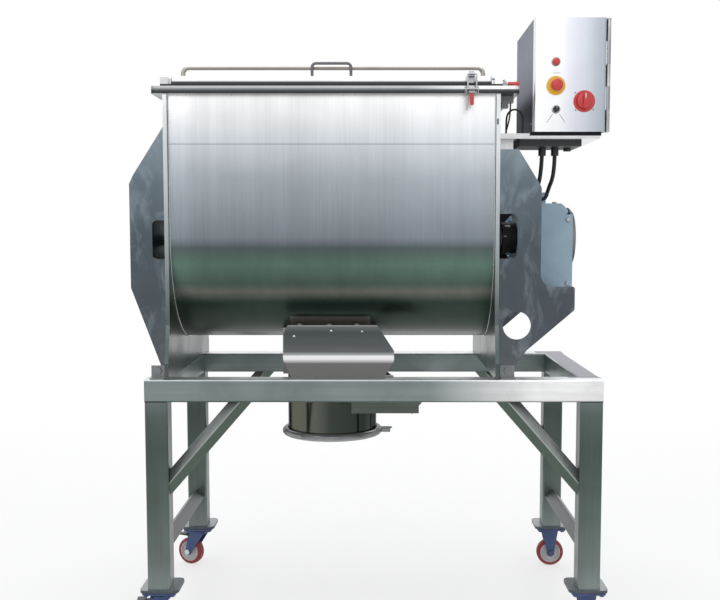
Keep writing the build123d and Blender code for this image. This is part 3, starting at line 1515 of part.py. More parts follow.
def make_flap():
    # Curved flap flush with the trough, its shaft and crank, and the cylinder that turns it
    wall = trough_wall
    x_low = outlet_x - opening_half_x + flap_gap
    x_high = outlet_x + opening_half_x - flap_gap
    half_y = opening_half_y - flap_gap
    outer = rod_x(trough_outer_radius, x_low, x_high, 0, shaft_height)
    inner = rod_x(trough_outer_radius - wall, x_low - 1, x_high + 1, 0, shaft_height)
    low = block((x_low, x_high), (-half_y, half_y), (trough_bottom - 1, chamber_top))
    flap = (outer - inner) & low
    for side in (-1, 1):
        y = side * flap_rib_y
        rib = plate_xz(
            [(x_low + 12, flap_pivot_z + 24), (x_low + 12, flap_pivot_z + 16),
             (flap_pivot_x - 12, flap_pivot_z - 12), (flap_pivot_x + 8, flap_pivot_z - 8),
             (flap_pivot_x + 8, flap_pivot_z + 10), (x_high - 8, flap_pivot_z + 16),
             (x_high - 8, flap_pivot_z + 40), (x_low + 12, flap_pivot_z + 40)],
            y - flap_rib_thick / 2, y + flap_rib_thick / 2,
        )
        rib -= rod_x(trough_outer_radius - 0.5, trough_left, trough_right, 0, shaft_height)
        flap += rib
        flap += rod_y(flap_hub_radius, flap_pivot_x, y - flap_hub_half, y + flap_hub_half, flap_pivot_z)
    flap -= rod_y(flap_shaft_radius, flap_pivot_x, -chamber_half_y, chamber_half_y, flap_pivot_z)
    shaft_back = chamber_half_y + chamber_boss_length + crank_gap
    shaft = rod_y(flap_shaft_radius, flap_pivot_x, crank_front, shaft_back, flap_pivot_z)
    slope = math.radians(cylinder_slope)
    along = Vector(math.cos(slope), 0, -math.sin(slope))
    across = Vector(-math.sin(slope), 0, -math.cos(slope))
    pivot = Vector(flap_pivot_x, 0, flap_pivot_z)
    middle = pivot + across * crank_offset
    half_stroke = crank_offset * math.tan(math.radians(flap_swing / 2))
    pin_at = middle - along * half_stroke
    reach = (pin_at - pivot).length
    tilt = math.degrees(math.atan2(pin_at.Z - pivot.Z, pin_at.X - pivot.X))
    slot_low = crank_offset - crank_slot_end
    slot_high = reach + crank_slot_end
    tip = Pos(slot_high, 0) * Circle(crank_tip_radius)
    arm = make_hull([*Circle(crank_root_radius).edges(), *tip.edges()])
    slot = SlotOverall(slot_high - slot_low + crank_slot_width, crank_slot_width)
    arm -= Pos((slot_low + slot_high) / 2, 0) * slot
    arm -= Circle(flap_shaft_radius)
    crank = extrude(arm, amount=crank_thick)
    crank_plane = Plane(
        origin=(flap_pivot_x, crank_front + crank_thick + crank_gap / 2, flap_pivot_z),
        x_dir=(math.cos(math.radians(tilt)), 0, math.sin(math.radians(tilt))), z_dir=(0, -1, 0),
    )
    crank = crank_plane * crank
    rod_plane = Plane(origin=(pin_at.X, cylinder_y, pin_at.Z), x_dir=(0, 1, 0), z_dir=tuple(along))
    clevis = rod_plane * Box(clevis_width, clevis_width, clevis_length)
    pin = rod_y(crank_pin_radius, pin_at.X, cylinder_y, crank_front + crank_thick + crank_gap, pin_at.Z)
    gap_to_barrel = 2 * half_stroke + clevis_length / 2 + clevis_gap
    rod_length = gap_to_barrel + rod_in_cylinder
    rod = rod_plane * Pos(0, 0, rod_length / 2) * Cylinder(rod_radius, rod_length)
    barrel_middle = gap_to_barrel + cylinder_length / 2
    barrel = rod_plane * Pos(0, 0, barrel_middle) * Cylinder(cylinder_radius, cylinder_length)
    bore_length = rod_length + 2 * half_stroke + 4
    barrel -= rod_plane * Pos(0, 0, bore_length / 2) * Cylinder(rod_radius + running_gap, bore_length)
    end_caps = [
        rod_plane * Pos(0, 0, gap_to_barrel + at) * Box(cylinder_cap, cylinder_cap, cylinder_cap_length)
        for at in (cylinder_cap_length / 2, cylinder_length - cylinder_cap_length / 2)
    ]
    tube_hole = rod_plane * Pos(0, 0, gap_to_barrel + cylinder_length / 2) * Cylinder(
        cylinder_radius, cylinder_length + 2
    )
    end_caps = [cap - tube_hole for cap in end_caps]
    tail = rod_plane.origin + along * (gap_to_barrel + cylinder_length - cylinder_cap_length / 2)
    bracket_x = (outlet_x + valve_bracket_start, tail.X + valve_bracket_end)
    bracket_back = cylinder_y - cylinder_cap / 2
    under_rail = rail_bottom - valve_bracket_thick
    bracket = block(
        bracket_x, (bracket_back - valve_bracket_thick, bracket_back),
        (rail_bottom - valve_bracket_drop, rail_bottom),
    )
    bracket += block(
        bracket_x, (-rail_inner_y - tube / 2, bracket_back - valve_bracket_thick), (under_rail, rail_bottom)
    )
    return {
        "discharge_flap": [flap, shaft, crank], "cylinder_rod": [rod + clevis + pin],
        "valve_cylinder": [barrel, bracket] + end_caps,
    }


def make_all():
    nodes = {}
    for maker in (
        make_stand, make_casters, make_trough, make_gussets, make_agitator, make_drive, make_lid,
        make_latches, make_control_box, make_controls, make_shelf, make_cables, make_discharge,
    ):
        for name, solids in maker().items():
            nodes.setdefault(name, []).extend(solids)
    return nodes


def centre_of(nodes):
    # Middle of the whole's box in plan, and its lowest point
    boxes = [solid.bounding_box() for solids in nodes.values() for solid in solids]
    middle_x = (min(b.min.X for b in boxes) + max(b.max.X for b in boxes)) / 2
    middle_y = (min(b.min.Y for b in boxes) + max(b.max.Y for b in boxes)) / 2
    return Vector(middle_x, middle_y, min(b.min.Z for b in boxes))


def main():
    # Stand the whole on the floor plane with the middle of its box over the origin
    os.makedirs("parts", exist_ok=True)
    nodes = make_all()
    centre = centre_of(nodes)
    print("centre", centre)
    shift = Pos(-centre.X, -centre.Y, -centre.Z)
    for name, solids in nodes.items():
        placed = [shift * solid for solid in solids]
        shape = placed[0] if len(placed) == 1 else group(placed)
        export_step(shape, os.path.join("parts", name + ".step"))
    print("nodes", len(nodes))


main()
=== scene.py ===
import math

import bmesh
import bpy
import numpy as np
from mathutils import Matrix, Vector


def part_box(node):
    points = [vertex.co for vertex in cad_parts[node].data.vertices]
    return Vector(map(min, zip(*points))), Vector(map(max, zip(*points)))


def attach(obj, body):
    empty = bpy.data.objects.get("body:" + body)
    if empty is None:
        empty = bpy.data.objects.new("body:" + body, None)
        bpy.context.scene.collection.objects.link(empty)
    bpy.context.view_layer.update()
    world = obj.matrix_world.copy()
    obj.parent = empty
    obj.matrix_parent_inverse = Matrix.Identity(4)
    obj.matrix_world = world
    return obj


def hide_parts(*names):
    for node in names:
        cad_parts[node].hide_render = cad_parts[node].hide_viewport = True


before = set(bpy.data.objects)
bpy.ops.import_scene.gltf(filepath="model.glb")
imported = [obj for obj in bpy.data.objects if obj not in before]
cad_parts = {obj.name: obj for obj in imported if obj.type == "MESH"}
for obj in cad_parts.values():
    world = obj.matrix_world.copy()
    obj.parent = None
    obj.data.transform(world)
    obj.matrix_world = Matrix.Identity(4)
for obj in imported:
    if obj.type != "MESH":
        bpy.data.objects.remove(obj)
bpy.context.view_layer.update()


# The machine's own drawing frame in millimetres: x from the stand's middle, y from the shaft, z from the floor
shellLow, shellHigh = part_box("trough_shell")
drawingShift = np.array([
    shellLow[0] + 0.625,
    (shellLow[1] + shellHigh[1]) / 2,
    shellHigh[2] - 1.675,
])


def atMm(x, y, z):
    return np.array([x, y, z]) / 1000 + drawingShift


# Shader helpers
def newTree(name, inputs, outputs):
    group = bpy.data.node_groups.new(name, "ShaderNodeTree")
    for socketName, kind, value in inputs:
        socket = group.interface.new_socket(name=socketName, in_out="INPUT", socket_type=kind)
        socket.default_value = value
    for socketName, kind in outputs:
        group.interface.new_socket(name=socketName, in_out="OUTPUT", socket_type=kind)
    return group, group.nodes.new("NodeGroupInput"), group.nodes.new("NodeGroupOutput")


def addMath(tree, operation, first, second=None, clamp=False):
    node = tree.nodes.new("ShaderNodeMath")
    node.operation = operation
    node.use_clamp = clamp
    for index, value in enumerate((first, second)):
        if value is None:
            continue
        if isinstance(value, (int, float)):
            node.inputs[index].default_value = value
        else:
            tree.links.new(value, node.inputs[index])
    return node.outputs[0]


def addMix(tree, factor, first, second):
    # Colour mix; each end is a colour or a socket
    node = tree.nodes.new("ShaderNodeMix")
    node.data_type = "RGBA"
    for socket, value in ((node.inputs[0], factor), (node.inputs[6], first), (node.inputs[7], second)):
        if hasattr(value, "is_output"):
            tree.links.new(value, socket)
        elif isinstance(value, (int, float)):
            socket.default_value = value
        else:
            socket.default_value = (*value, 1)
    return node.outputs[2]


def addShade(tree, colour, factor):
    # Darken or lighten a colour by a grey factor
    node = tree.nodes.new("ShaderNodeMix")
    node.data_type = "RGBA"
    node.blend_type = "MULTIPLY"
    node.inputs[0].default_value = 1.0
    tree.links.new(colour, node.inputs[6])
    tree.links.new(factor, node.inputs[7])
    return node.outputs[2]


def addRamp(tree, value, stops):
    # Colour ramp through (place, colour) stops
    node = tree.nodes.new("ShaderNodeValToRGB")
    elements = node.color_ramp.elements
    for index, (place, colour) in enumerate(stops):
        stop = elements[index] if index < 2 else elements.new(place)
        stop.position = place
        stop.color = (*colour, 1)
    tree.links.new(value, node.inputs[0])
    return node.outputs[0]


def addNoise(tree, vector, scale, detail=4, rough=0.55):
    node = tree.nodes.new("ShaderNodeTexNoise")
    node.inputs["Scale"].default_value = scale
    node.inputs["Detail"].default_value = detail
    node.inputs["Roughness"].default_value = rough
    tree.links.new(vector, node.inputs["Vector"])
    return node.outputs[0]


def addRange(tree, value, fromLow, fromHigh, toLow, toHigh):
    node = tree.nodes.new("ShaderNodeMapRange")
    tree.links.new(value, node.inputs[0])
    for index, number in enumerate((fromLow, fromHigh, toLow, toHigh)):
        node.inputs[index + 1].default_value = number
    return node.outputs[0]


def scaledPoint(tree, vector, scale):
    node = tree.nodes.new("ShaderNodeVectorMath")
    node.operation = "MULTIPLY"
    tree.links.new(vector, node.inputs[0])
    if hasattr(scale, "is_output"):
        tree.links.new(scale, node.inputs[1])
    else:
        node.inputs[1].default_value = scale
    return node.outputs[0]


def buildBrushGrain():
    # Long fine streaks: noise whose coordinates are squeezed across the brushing direction
    group, source, target = newTree(
        "brushGrain",
        [("Point", "NodeSocketVector", (0, 0, 0)), ("Stretch", "NodeSocketVector", (400, 400, 6))],
        [("Streak", "NodeSocketFloat"), ("Band", "NodeSocketFloat")],
    )
    fine = scaledPoint(group, source.outputs["Point"], source.outputs["Stretch"])
    streak = addNoise(group, fine, 1.0, 3, 0.6)
    wide = scaledPoint(group, fine, (0.06, 0.06, 0.1))
    band = addNoise(group, wide, 1.0, 3, 0.5)
    group.links.new(streak, target.inputs["Streak"])
    group.links.new(band, target.inputs["Band"])
    return group


def buildHandling():
    # Smudges and fine specks of a sheet that has been handled, from two sizes of noise
    group, source, target = newTree(
        "handling",
        [("Point", "NodeSocketVector", (0, 0, 0)), ("Size", "NodeSocketFloat", 6.0)],
        [("Smudge", "NodeSocketFloat"), ("Speck", "NodeSocketFloat")],
    )
    cloud = group.nodes.new("ShaderNodeTexNoise")
    cloud.inputs["Detail"].default_value = 5
    cloud.inputs["Distortion"].default_value = 0.6
    group.links.new(source.outputs["Point"], cloud.inputs["Vector"])
    group.links.new(source.outputs["Size"], cloud.inputs["Scale"])
    smudge = addRange(group, cloud.outputs[0], 0.42, 0.68, 0.0, 1.0)
    speck = addRange(group, addNoise(group, source.outputs["Point"], 230, 2, 0.5), 0.66, 0.78, 0.0, 1.0)
    group.links.new(smudge, target.inputs["Smudge"])
    group.links.new(speck, target.inputs["Speck"])
    return group


def buildHalfSpace():
    # 1 where the point lies beyond a plane: its dot product with a direction is over an offset
    group, source, target = newTree(
        "halfSpace",
        [("Point", "NodeSocketVector", (0, 0, 0)), ("Direction", "NodeSocketVector", (0, 0, 1)),
         ("Offset", "NodeSocketFloat", 0.0)],
        [("Mask", "NodeSocketFloat")],
    )
    dot = group.nodes.new("ShaderNodeVectorMath")
    dot.operation = "DOT_PRODUCT"
    group.links.new(source.outputs["Point"], dot.inputs[0])
    group.links.new(source.outputs["Direction"], dot.inputs[1])
    beyond = addMath(group, "GREATER_THAN", dot.outputs["Value"], 0.0)
    group.links.new(source.outputs["Offset"], beyond.node.inputs[1])
    group.links.new(beyond, target.inputs["Mask"])
    return group


brushGrain = buildBrushGrain()
handling = buildHandling()
halfSpace = buildHalfSpace()


def startMaterial(name):
    material = bpy.data.materials.new(name)
    material.use_nodes = True
    tree = material.node_tree
    shader = tree.nodes["Principled BSDF"]
    coordinates = tree.nodes.new("ShaderNodeTexCoord")
    return material, tree, shader, coordinates.outputs["Object"]


def placeGroup(tree, group, point, **values):
    node = tree.nodes.new("ShaderNodeGroup")
    node.node_tree = group
    tree.links.new(point, node.inputs["Point"])
    for key, value in values.items():
        node.inputs[key].default_value = value
    return node.outputs


def addBump(tree, shader, height, strength, distance=0.0004):
    bump = tree.nodes.new("ShaderNodeBump")
    bump.inputs["Strength"].default_value = strength
    bump.inputs["Distance"].default_value = distance
    tree.links.new(height, bump.inputs["Height"])
    tree.links.new(bump.outputs[0], shader.inputs["Normal"])


def boundedMask(tree, point, planes):
    # Product of half spaces, so a zone between several planes
    mask = None
    for direction, offset in planes:
        part = placeGroup(tree, halfSpace, point, Direction=direction, Offset=offset)["Mask"]
        mask = part if mask is None else addMath(tree, "MULTIPLY", mask, part)
    return mask


def buildFacingShade():
    # Masks for painted shade and painted highlight, from the surface's own normal: Down is 0 on faces that look up or
    # sideways, 1 on faces that look down; Up grows on faces that look up
    group, source, target = newTree(
        "facingShade", [("Start", "NodeSocketFloat", 0.1), ("End", "NodeSocketFloat", -0.9)],
        [("Down", "NodeSocketFloat"), ("Up", "NodeSocketFloat")],
    )
    surface = group.nodes.new("ShaderNodeNewGeometry")
    split = group.nodes.new("ShaderNodeSeparateXYZ")
    group.links.new(surface.outputs["Normal"], split.inputs[0])
    ramp = group.nodes.new("ShaderNodeMapRange")
    group.links.new(split.outputs[2], ramp.inputs[0])
    group.links.new(source.outputs["Start"], ramp.inputs[1])
    group.links.new(source.outputs["End"], ramp.inputs[2])
    group.links.new(ramp.outputs[0], target.inputs["Down"])
    group.links.new(addRange(group, split.outputs[2], 0.2, 0.85, 0.0, 1.0), target.inputs["Up"])
    return group


facingShade = buildFacingShade()


def axisTone(tree, point, axis, tones):
    # Colour by place: tones are (drawing millimetres along the axis, colour)
    places = [atMm(value, value, value)[axis] for value, _ in tones]
    split = tree.nodes.new("ShaderNodeSeparateXYZ")
    tree.links.new(point, split.inputs[0])
    along = addRange(tree, split.outputs[axis], places[0], places[-1], 0.0, 1.0)
    span = places[-1] - places[0]
    stops = [((place - places[0]) / span, colour) for place, (_, colour) in zip(places, tones)]
    return addRamp(tree, along, stops)


def turnTone(tree, point, centre, tones):
    # Colour by the angle round an upright axis through a drawing point: tones are (turn from 0 to 1, colour)
    split = tree.nodes.new("ShaderNodeSeparateXYZ")
    tree.links.new(point, split.inputs[0])
    middle = atMm(*centre, 0)
    x = addMath(tree, "SUBTRACT", split.outputs[0], float(middle[0]))
    y = addMath(tree, "SUBTRACT", split.outputs[1], float(middle[1]))
    angle = addMath(tree, "ARCTAN2", y, x)
    return addRamp(tree, addRange(tree, angle, -math.pi, math.pi, 0.0, 1.0), tones)


def finishSteel(tree, shader, point, colour, stretch, rough, smudge, bump, size, contrast, down, up, fall):
    # Brushed sheet: streaks along one direction, slow bands, smudges that dull it, painted shade on faces that look
    # down, painted highlight on faces that look up
    grain = placeGroup(tree, brushGrain, point, Stretch=stretch)
    marks = placeGroup(tree, handling, point, Size=size)
    facing = tree.nodes.new("ShaderNodeGroup")
    facing.node_tree = facingShade
    facing.inputs["End"].default_value = fall
    streak = addRange(tree, grain["Streak"], 0.3, 0.7, 0.0, 1.0)
    colour = addShade(tree, colour, addRange(tree, streak, 0.0, 1.0, 1 - contrast, 1 + 0.6 * contrast))
    colour = addShade(tree, colour, addRange(tree, grain["Band"], 0.3, 0.7, 1 - contrast, 1 + contrast))
    colour = addShade(tree, colour, addRange(tree, marks["Smudge"], 0.0, 1.0, 1.0, 1 - 0.3 * smudge))
    # Painted shade: the down colour on faces that look down
    if down is not None:
        colour = addMix(tree, facing.outputs["Down"], colour, down)
    # Painted highlight: the up colour on faces that look up
    if up is not None:
        colour = addMix(tree, addMath(tree, "MULTIPLY", facing.outputs["Up"], 0.75), colour, up)
    roughness = addRange(tree, streak, 0.0, 1.0, rough - 0.04, rough + 0.04)
    dull = addMath(tree, "MULTIPLY", marks["Smudge"], 0.14 * smudge)
    roughness = addMath(tree, "ADD", roughness, dull, clamp=True)
    roughness = addMath(tree, "ADD", roughness, addMath(tree, "MULTIPLY", marks["Speck"], 0.05), clamp=True)
    tree.links.new(colour, shader.inputs["Base Color"])
    tree.links.new(roughness, shader.inputs["Roughness"])
    shader.inputs["Metallic"].default_value = 1.0
    addBump(tree, shader, streak, bump)
    return colour, roughness


def troughInside(tree, point):
    # 1 nearer the shaft's plane than the shell's wall. The distance is the square root of
    # y squared + (the part of z below the shaft) squared.
    split = tree.nodes.new("ShaderNodeSeparateXYZ")
    tree.links.new(point, split.inputs[0])
    axle = atMm(0, 0, 1240)
    across = addMath(tree, "SUBTRACT", split.outputs[1], float(axle[1]))
    below = addMath(tree, "MINIMUM", addMath(tree, "SUBTRACT", split.outputs[2], float(axle[2])), 0.0)
    square = addMath(tree, "ADD", addMath(tree, "MULTIPLY", across, across), addMath(tree, "MULTIPLY", below, below))
    return addMath(tree, "LESS_THAN", addMath(tree, "SQRT", square), 0.3266)


def makeSteel(
    name, tones, stretch, rough, axis=2, smudge=0.5, bump=0.04, size=5.0, contrast=0.10,
    down=(0.05, 0.065, 0.055), up=None, zone=None, turn=None, fall=-0.9, edge=None,
    metal=1.0, across=None, wipe=0.0, pale=None, inner=None,
):
    # tones is one colour, or (drawing millimetres, colour) pairs along an axis, or turns round an upright axis
    # The down default is painted shade on faces that look down; up is painted highlight on faces that look up
    material, tree, shader, point = startMaterial(name)
    if turn:
        colour = turnTone(tree, point, turn, tones)
    elif isinstance(tones[0], tuple):
        colour = axisTone(tree, point, axis, tones)
    else:
        drift = addRange(tree, addNoise(tree, point, 3.0, 2), 0.3, 0.7, 0.0, 1.0)
        colour = addMix(tree, drift, tuple(0.86 * channel for channel in tones), tones)
    # Painted reflection: across shades the colour along x
    if across:
        colour = addShade(tree, colour, axisTone(tree, point, 0, [(place, (grey,) * 3) for place, grey in across]))
    if wipe:
        cloud = tree.nodes.new("ShaderNodeTexNoise")
        tree.links.new(scaledPoint(tree, point, (13, 13, 6)), cloud.inputs["Vector"])
        for key, value in (("Scale", 1.0), ("Detail", 6.0), ("Roughness", 0.62), ("Distortion", 1.4)):
            cloud.inputs[key].default_value = value
        rubbed = addMath(tree, "MULTIPLY", addRange(tree, cloud.outputs[0], 0.50, 0.70, 0.0, 1.0), wipe)
        colour = addMix(tree, rubbed, colour, (0.34, 0.40, 0.44))
    # Painted highlight: pale fades in along x inside the planes
    if pale:
        (fromX, toX), planes, paleColour = pale
        split = tree.nodes.new("ShaderNodeSeparateXYZ")
        tree.links.new(point, split.inputs[0])
        fade = addRange(tree, split.outputs[0], float(atMm(fromX, 0, 0)[0]), float(atMm(toX, 0, 0)[0]), 0.0, 1.0)
        fade = addMath(tree, "MULTIPLY", fade, boundedMask(tree, point, planes))
        colour = addMix(tree, fade, colour, paleColour)
    if inner:
        mask = addMath(tree, "MULTIPLY", troughInside(tree, point), boundedMask(tree, point, [
            zoneAt((1, 0, 0), -626, 0, 0), zoneAt((-1, 0, 0), 371, 0, 0)
        ]))
        colour = addMix(tree, mask, colour, inner)
    colour, roughness = finishSteel(
        tree, shader, point, colour, stretch, rough, smudge, bump, size, contrast, down, up, fall
    )
    shader.inputs["Metallic"].default_value = metal
    for planes, zoneColour, zoneRough, zoneMetal in zone or ():
        mask = boundedMask(tree, point, planes)
        colour = addMix(tree, mask, colour, zoneColour)
        keep = addMath(tree, "SUBTRACT", 1.0, mask)
        roughness = addMath(
            tree, "ADD", addMath(tree, "MULTIPLY", roughness, keep), addMath(tree, "MULTIPLY", mask, zoneRough)
        )
        tree.links.new(colour, shader.inputs["Base Color"])
        tree.links.new(roughness, shader.inputs["Roughness"])
        if zoneMetal < 1:
            tree.links.new(addMath(tree, "MAXIMUM", keep, zoneMetal), shader.inputs["Metallic"])
    if edge is not None:
        shader.inputs["Specular Tint"].default_value = (*edge, 1)
    return material


def makeCoated(name, colour, rough, mottling=0.12, bump=0.15, grainSize=900, coat=0.0, zone=None, dirt=0.25):
    # Paint, plastic or rubber: slow colour drift, dust in smudges, a fine orange-peel or moulded grain
    material, tree, shader, point = startMaterial(name)
    marks = placeGroup(tree, handling, point, Size=9.0)
    drift = addRange(tree, addNoise(tree, point, 14, 3), 0.3, 0.7, 0.0, 1.0)
    darker = tuple(channel * (1 - 2 * mottling) for channel in colour)
    shade = addMix(tree, drift, darker, colour)
    dusty = tuple(0.7 * channel + 0.12 for channel in colour)
    shade = addMix(tree, addMath(tree, "MULTIPLY", marks["Smudge"], dirt), shade, dusty)
    grain = addNoise(tree, point, grainSize, 2)
    roughness = addRange(tree, grain, 0.3, 0.7, rough - 0.04, rough + 0.06)
    roughness = addMath(tree, "ADD", roughness, addMath(tree, "MULTIPLY", marks["Smudge"], 0.08), clamp=True)
    if zone:
        planes, zoneColour, zoneRough = zone
        mask = boundedMask(tree, point, planes)
        shade = addMix(tree, mask, shade, zoneColour)
        keep = addMath(tree, "SUBTRACT", 1.0, mask)
        roughness = addMath(
            tree, "ADD", addMath(tree, "MULTIPLY", roughness, keep), addMath(tree, "MULTIPLY", mask, zoneRough)
        )
    tree.links.new(shade, shader.inputs["Base Color"])
    tree.links.new(roughness, shader.inputs["Roughness"])
    if coat:
        shader.inputs["Coat Weight"].default_value = coat
        shader.inputs["Coat Roughness"].default_value = 0.08
    addBump(tree, shader, grain, bump, 0.0002)
    return material


def zoneAt(direction, x, y, z):
    # A half space given by a drawing point on its plane
    unit = np.array(direction, float)
    unit /= np.linalg.norm(unit)
    return tuple(float(value) for value in unit), float(unit @ atMm(x, y, z))


grainOf = {"acrossX": (420, 420, 5), "alongX": (5, 420, 420), "alongY": (420, 5, 420), "alongZ": (420, 420, 5)}
blackPaint = (0.016, 0.016, 0.018)
redPlastic = (0.62, 0.03, 0.03)

# Broad bands of the trough from its rim down, painted reflection and shade on the steel: white, blue-grey with the
# seam's dark line, green, a warm streak, dark green and a paler foot, which is a painted highlight
shellReflectionTones = [
    (912, (0.15, 0.17, 0.16)), (945, (0.04, 0.055, 0.045)), (1040, (0.045, 0.07, 0.055)),
    (1075, (0.16, 0.16, 0.14)), (1100, (0.08, 0.12, 0.10)), (1160, (0.12, 0.20, 0.16)),
    (1210, (0.10, 0.13, 0.13)), (1240, (0.22, 0.25, 0.28)), (1420, (0.40, 0.44, 0.48)),
    (1523, (0.60, 0.64, 0.68)), (1525, (0.33, 0.36, 0.39)), (1527, (0.33, 0.36, 0.39)),
    (1529, (0.62, 0.66, 0.70)), (1675, (0.98, 0.98, 0.98)),
]
# Painted reflection across the trough: the colour is multiplied by these greys along x, full at both ends and darker in
# the middle
shellAcrossShading = [(-625, 1.0), (-581, 0.97), (-520, 0.86), (-459, 0.83), (-90, 0.84), (32, 0.88), (94, 0.96), (370, 1.0)]
# Painted reflection and shade on the end plates: dark at the foot, growing paler towards the rim
endPlateReflectionTones = [
    (812, (0.10, 0.12, 0.12)), (900, (0.080, 0.098, 0.098)), (1000, (0.13, 0.15, 0.155)),
    (1150, (0.29, 0.33, 0.34)), (1350, (0.50, 0.54, 0.56)), (1540, (0.70, 0.73, 0.75)),
    (1675, (0.80, 0.82, 0.83)),
]
# Painted reflection and shade on the gussets: paler at the foot and the top, darkest in the middle
gussetReflectionTones = [
    (812, (0.155, 0.175, 0.195)), (880, (0.105, 0.115, 0.128)), (1050, (0.082, 0.098, 0.115)),
    (1240, (0.090, 0.112, 0.132)), (1400, (0.130, 0.165, 0.195)), (1560, (0.24, 0.29, 0.33)),
]
# Painted shade and highlight on the rails: dark along the lower edge, a painted highlight along the top edge
railShadingTones = [
    (738, (0.10, 0.12, 0.115)), (746, (0.23, 0.28, 0.275)), (770, (0.26, 0.31, 0.305)),
    (800, (0.22, 0.265, 0.27)), (808, (0.26, 0.30, 0.31)), (812, (0.60, 0.63, 0.64)),
]
# Painted reflection and shade on the legs: paler at the foot and the top, darkest below the rails
legReflectionTones = [
    (146, (0.25, 0.29, 0.29)), (240, (0.17, 0.205, 0.195)), (400, (0.125, 0.16, 0.145)),
    (600, (0.085, 0.108, 0.100)), (700, (0.115, 0.145, 0.138)), (742, (0.16, 0.19, 0.185)),
]
# Painted shade under the rim, growing paler towards its top
rimShadingTones = [
    (1675, (0.020, 0.022, 0.024)), (1679, (0.032, 0.036, 0.038)), (1683, (0.07, 0.075, 0.08)),
    (1687, (0.17, 0.18, 0.185)), (1690, (0.32, 0.34, 0.35)), (1694, (0.50, 0.52, 0.52)),
    (1697, (0.46, 0.48, 0.48)), (1700, (0.55, 0.56, 0.57)), (1712, (0.60, 0.61, 0.62)),
]
# Painted shadow in the gap above the gasket, then a painted highlight along the lid's edge
lidShadingTones = [
    (1703, (0.020, 0.022, 0.024)), (1708.5, (0.030, 0.034, 0.036)), (1711, (0.50, 0.52, 0.53)),
    (1713.5, (0.84, 0.86, 0.88)), (1717, (0.97, 0.97, 0.97)), (1727, (0.95, 0.95, 0.96)),
]
# Painted reflection on the guard: a paler lower edge, a painted highlight along the bend and a white painted highlight
# along the top edge
guardReflectionTones = [
    (799, (0.50, 0.50, 0.48)), (803, (0.18, 0.17, 0.16)), (855, (0.16, 0.16, 0.16)),
    (868, (0.80, 0.80, 0.80)), (878, (0.90, 0.90, 0.90)), (890, (0.20, 0.21, 0.22)),
    (945, (0.22, 0.24, 0.25)), (958, (0.45, 0.47, 0.48)), (962, (0.95, 0.95, 0.95)),
]
# Painted shade and reflection on the cabinet's sides: dark below z 1655, pale above
boxSideReflectionTones = [
    (1555, (0.06, 0.06, 0.07)), (1655, (0.08, 0.09, 0.10)), (1700, (0.55, 0.57, 0.63)),
    (1810, (0.74, 0.77, 0.85)), (1909, (0.70, 0.73, 0.80)),
]
# Painted reflection across the door along x: near white on the left, darker to the right, with a painted highlight near
# the right edge
doorReflectionTones = [
    (490, (0.94, 0.94, 0.94)), (560, (0.92, 0.93, 0.94)), (590, (0.78, 0.80, 0.86)),
    (620, (0.67, 0.69, 0.76)), (660, (0.56, 0.60, 0.67)), (695, (0.43, 0.48, 0.54)),
    (706, (0.45, 0.51, 0.57)), (711, (0.74, 0.76, 0.78)), (716, (0.30, 0.31, 0.33)),
]
# Painted reflection round the spout, as turns: 0 and 1 at the left, 0.25 at the front, 0.5 at the right, 0.75 at the
# back
spoutReflectionTones = [
    (0.0, (0.26, 0.27, 0.26)), (0.12, (0.15, 0.15, 0.11)), (0.20, (0.12, 0.13, 0.11)),
    (0.25, (0.05, 0.06, 0.05)), (0.38, (0.03, 0.04, 0.03)), (0.48, (0.16, 0.17, 0.17)),
    (0.60, (0.12, 0.13, 0.13)), (0.70, (0.28, 0.29, 0.29)), (0.85, (0.20, 0.21, 0.21)),
    (1.0, (0.26, 0.27, 0.26)),
]
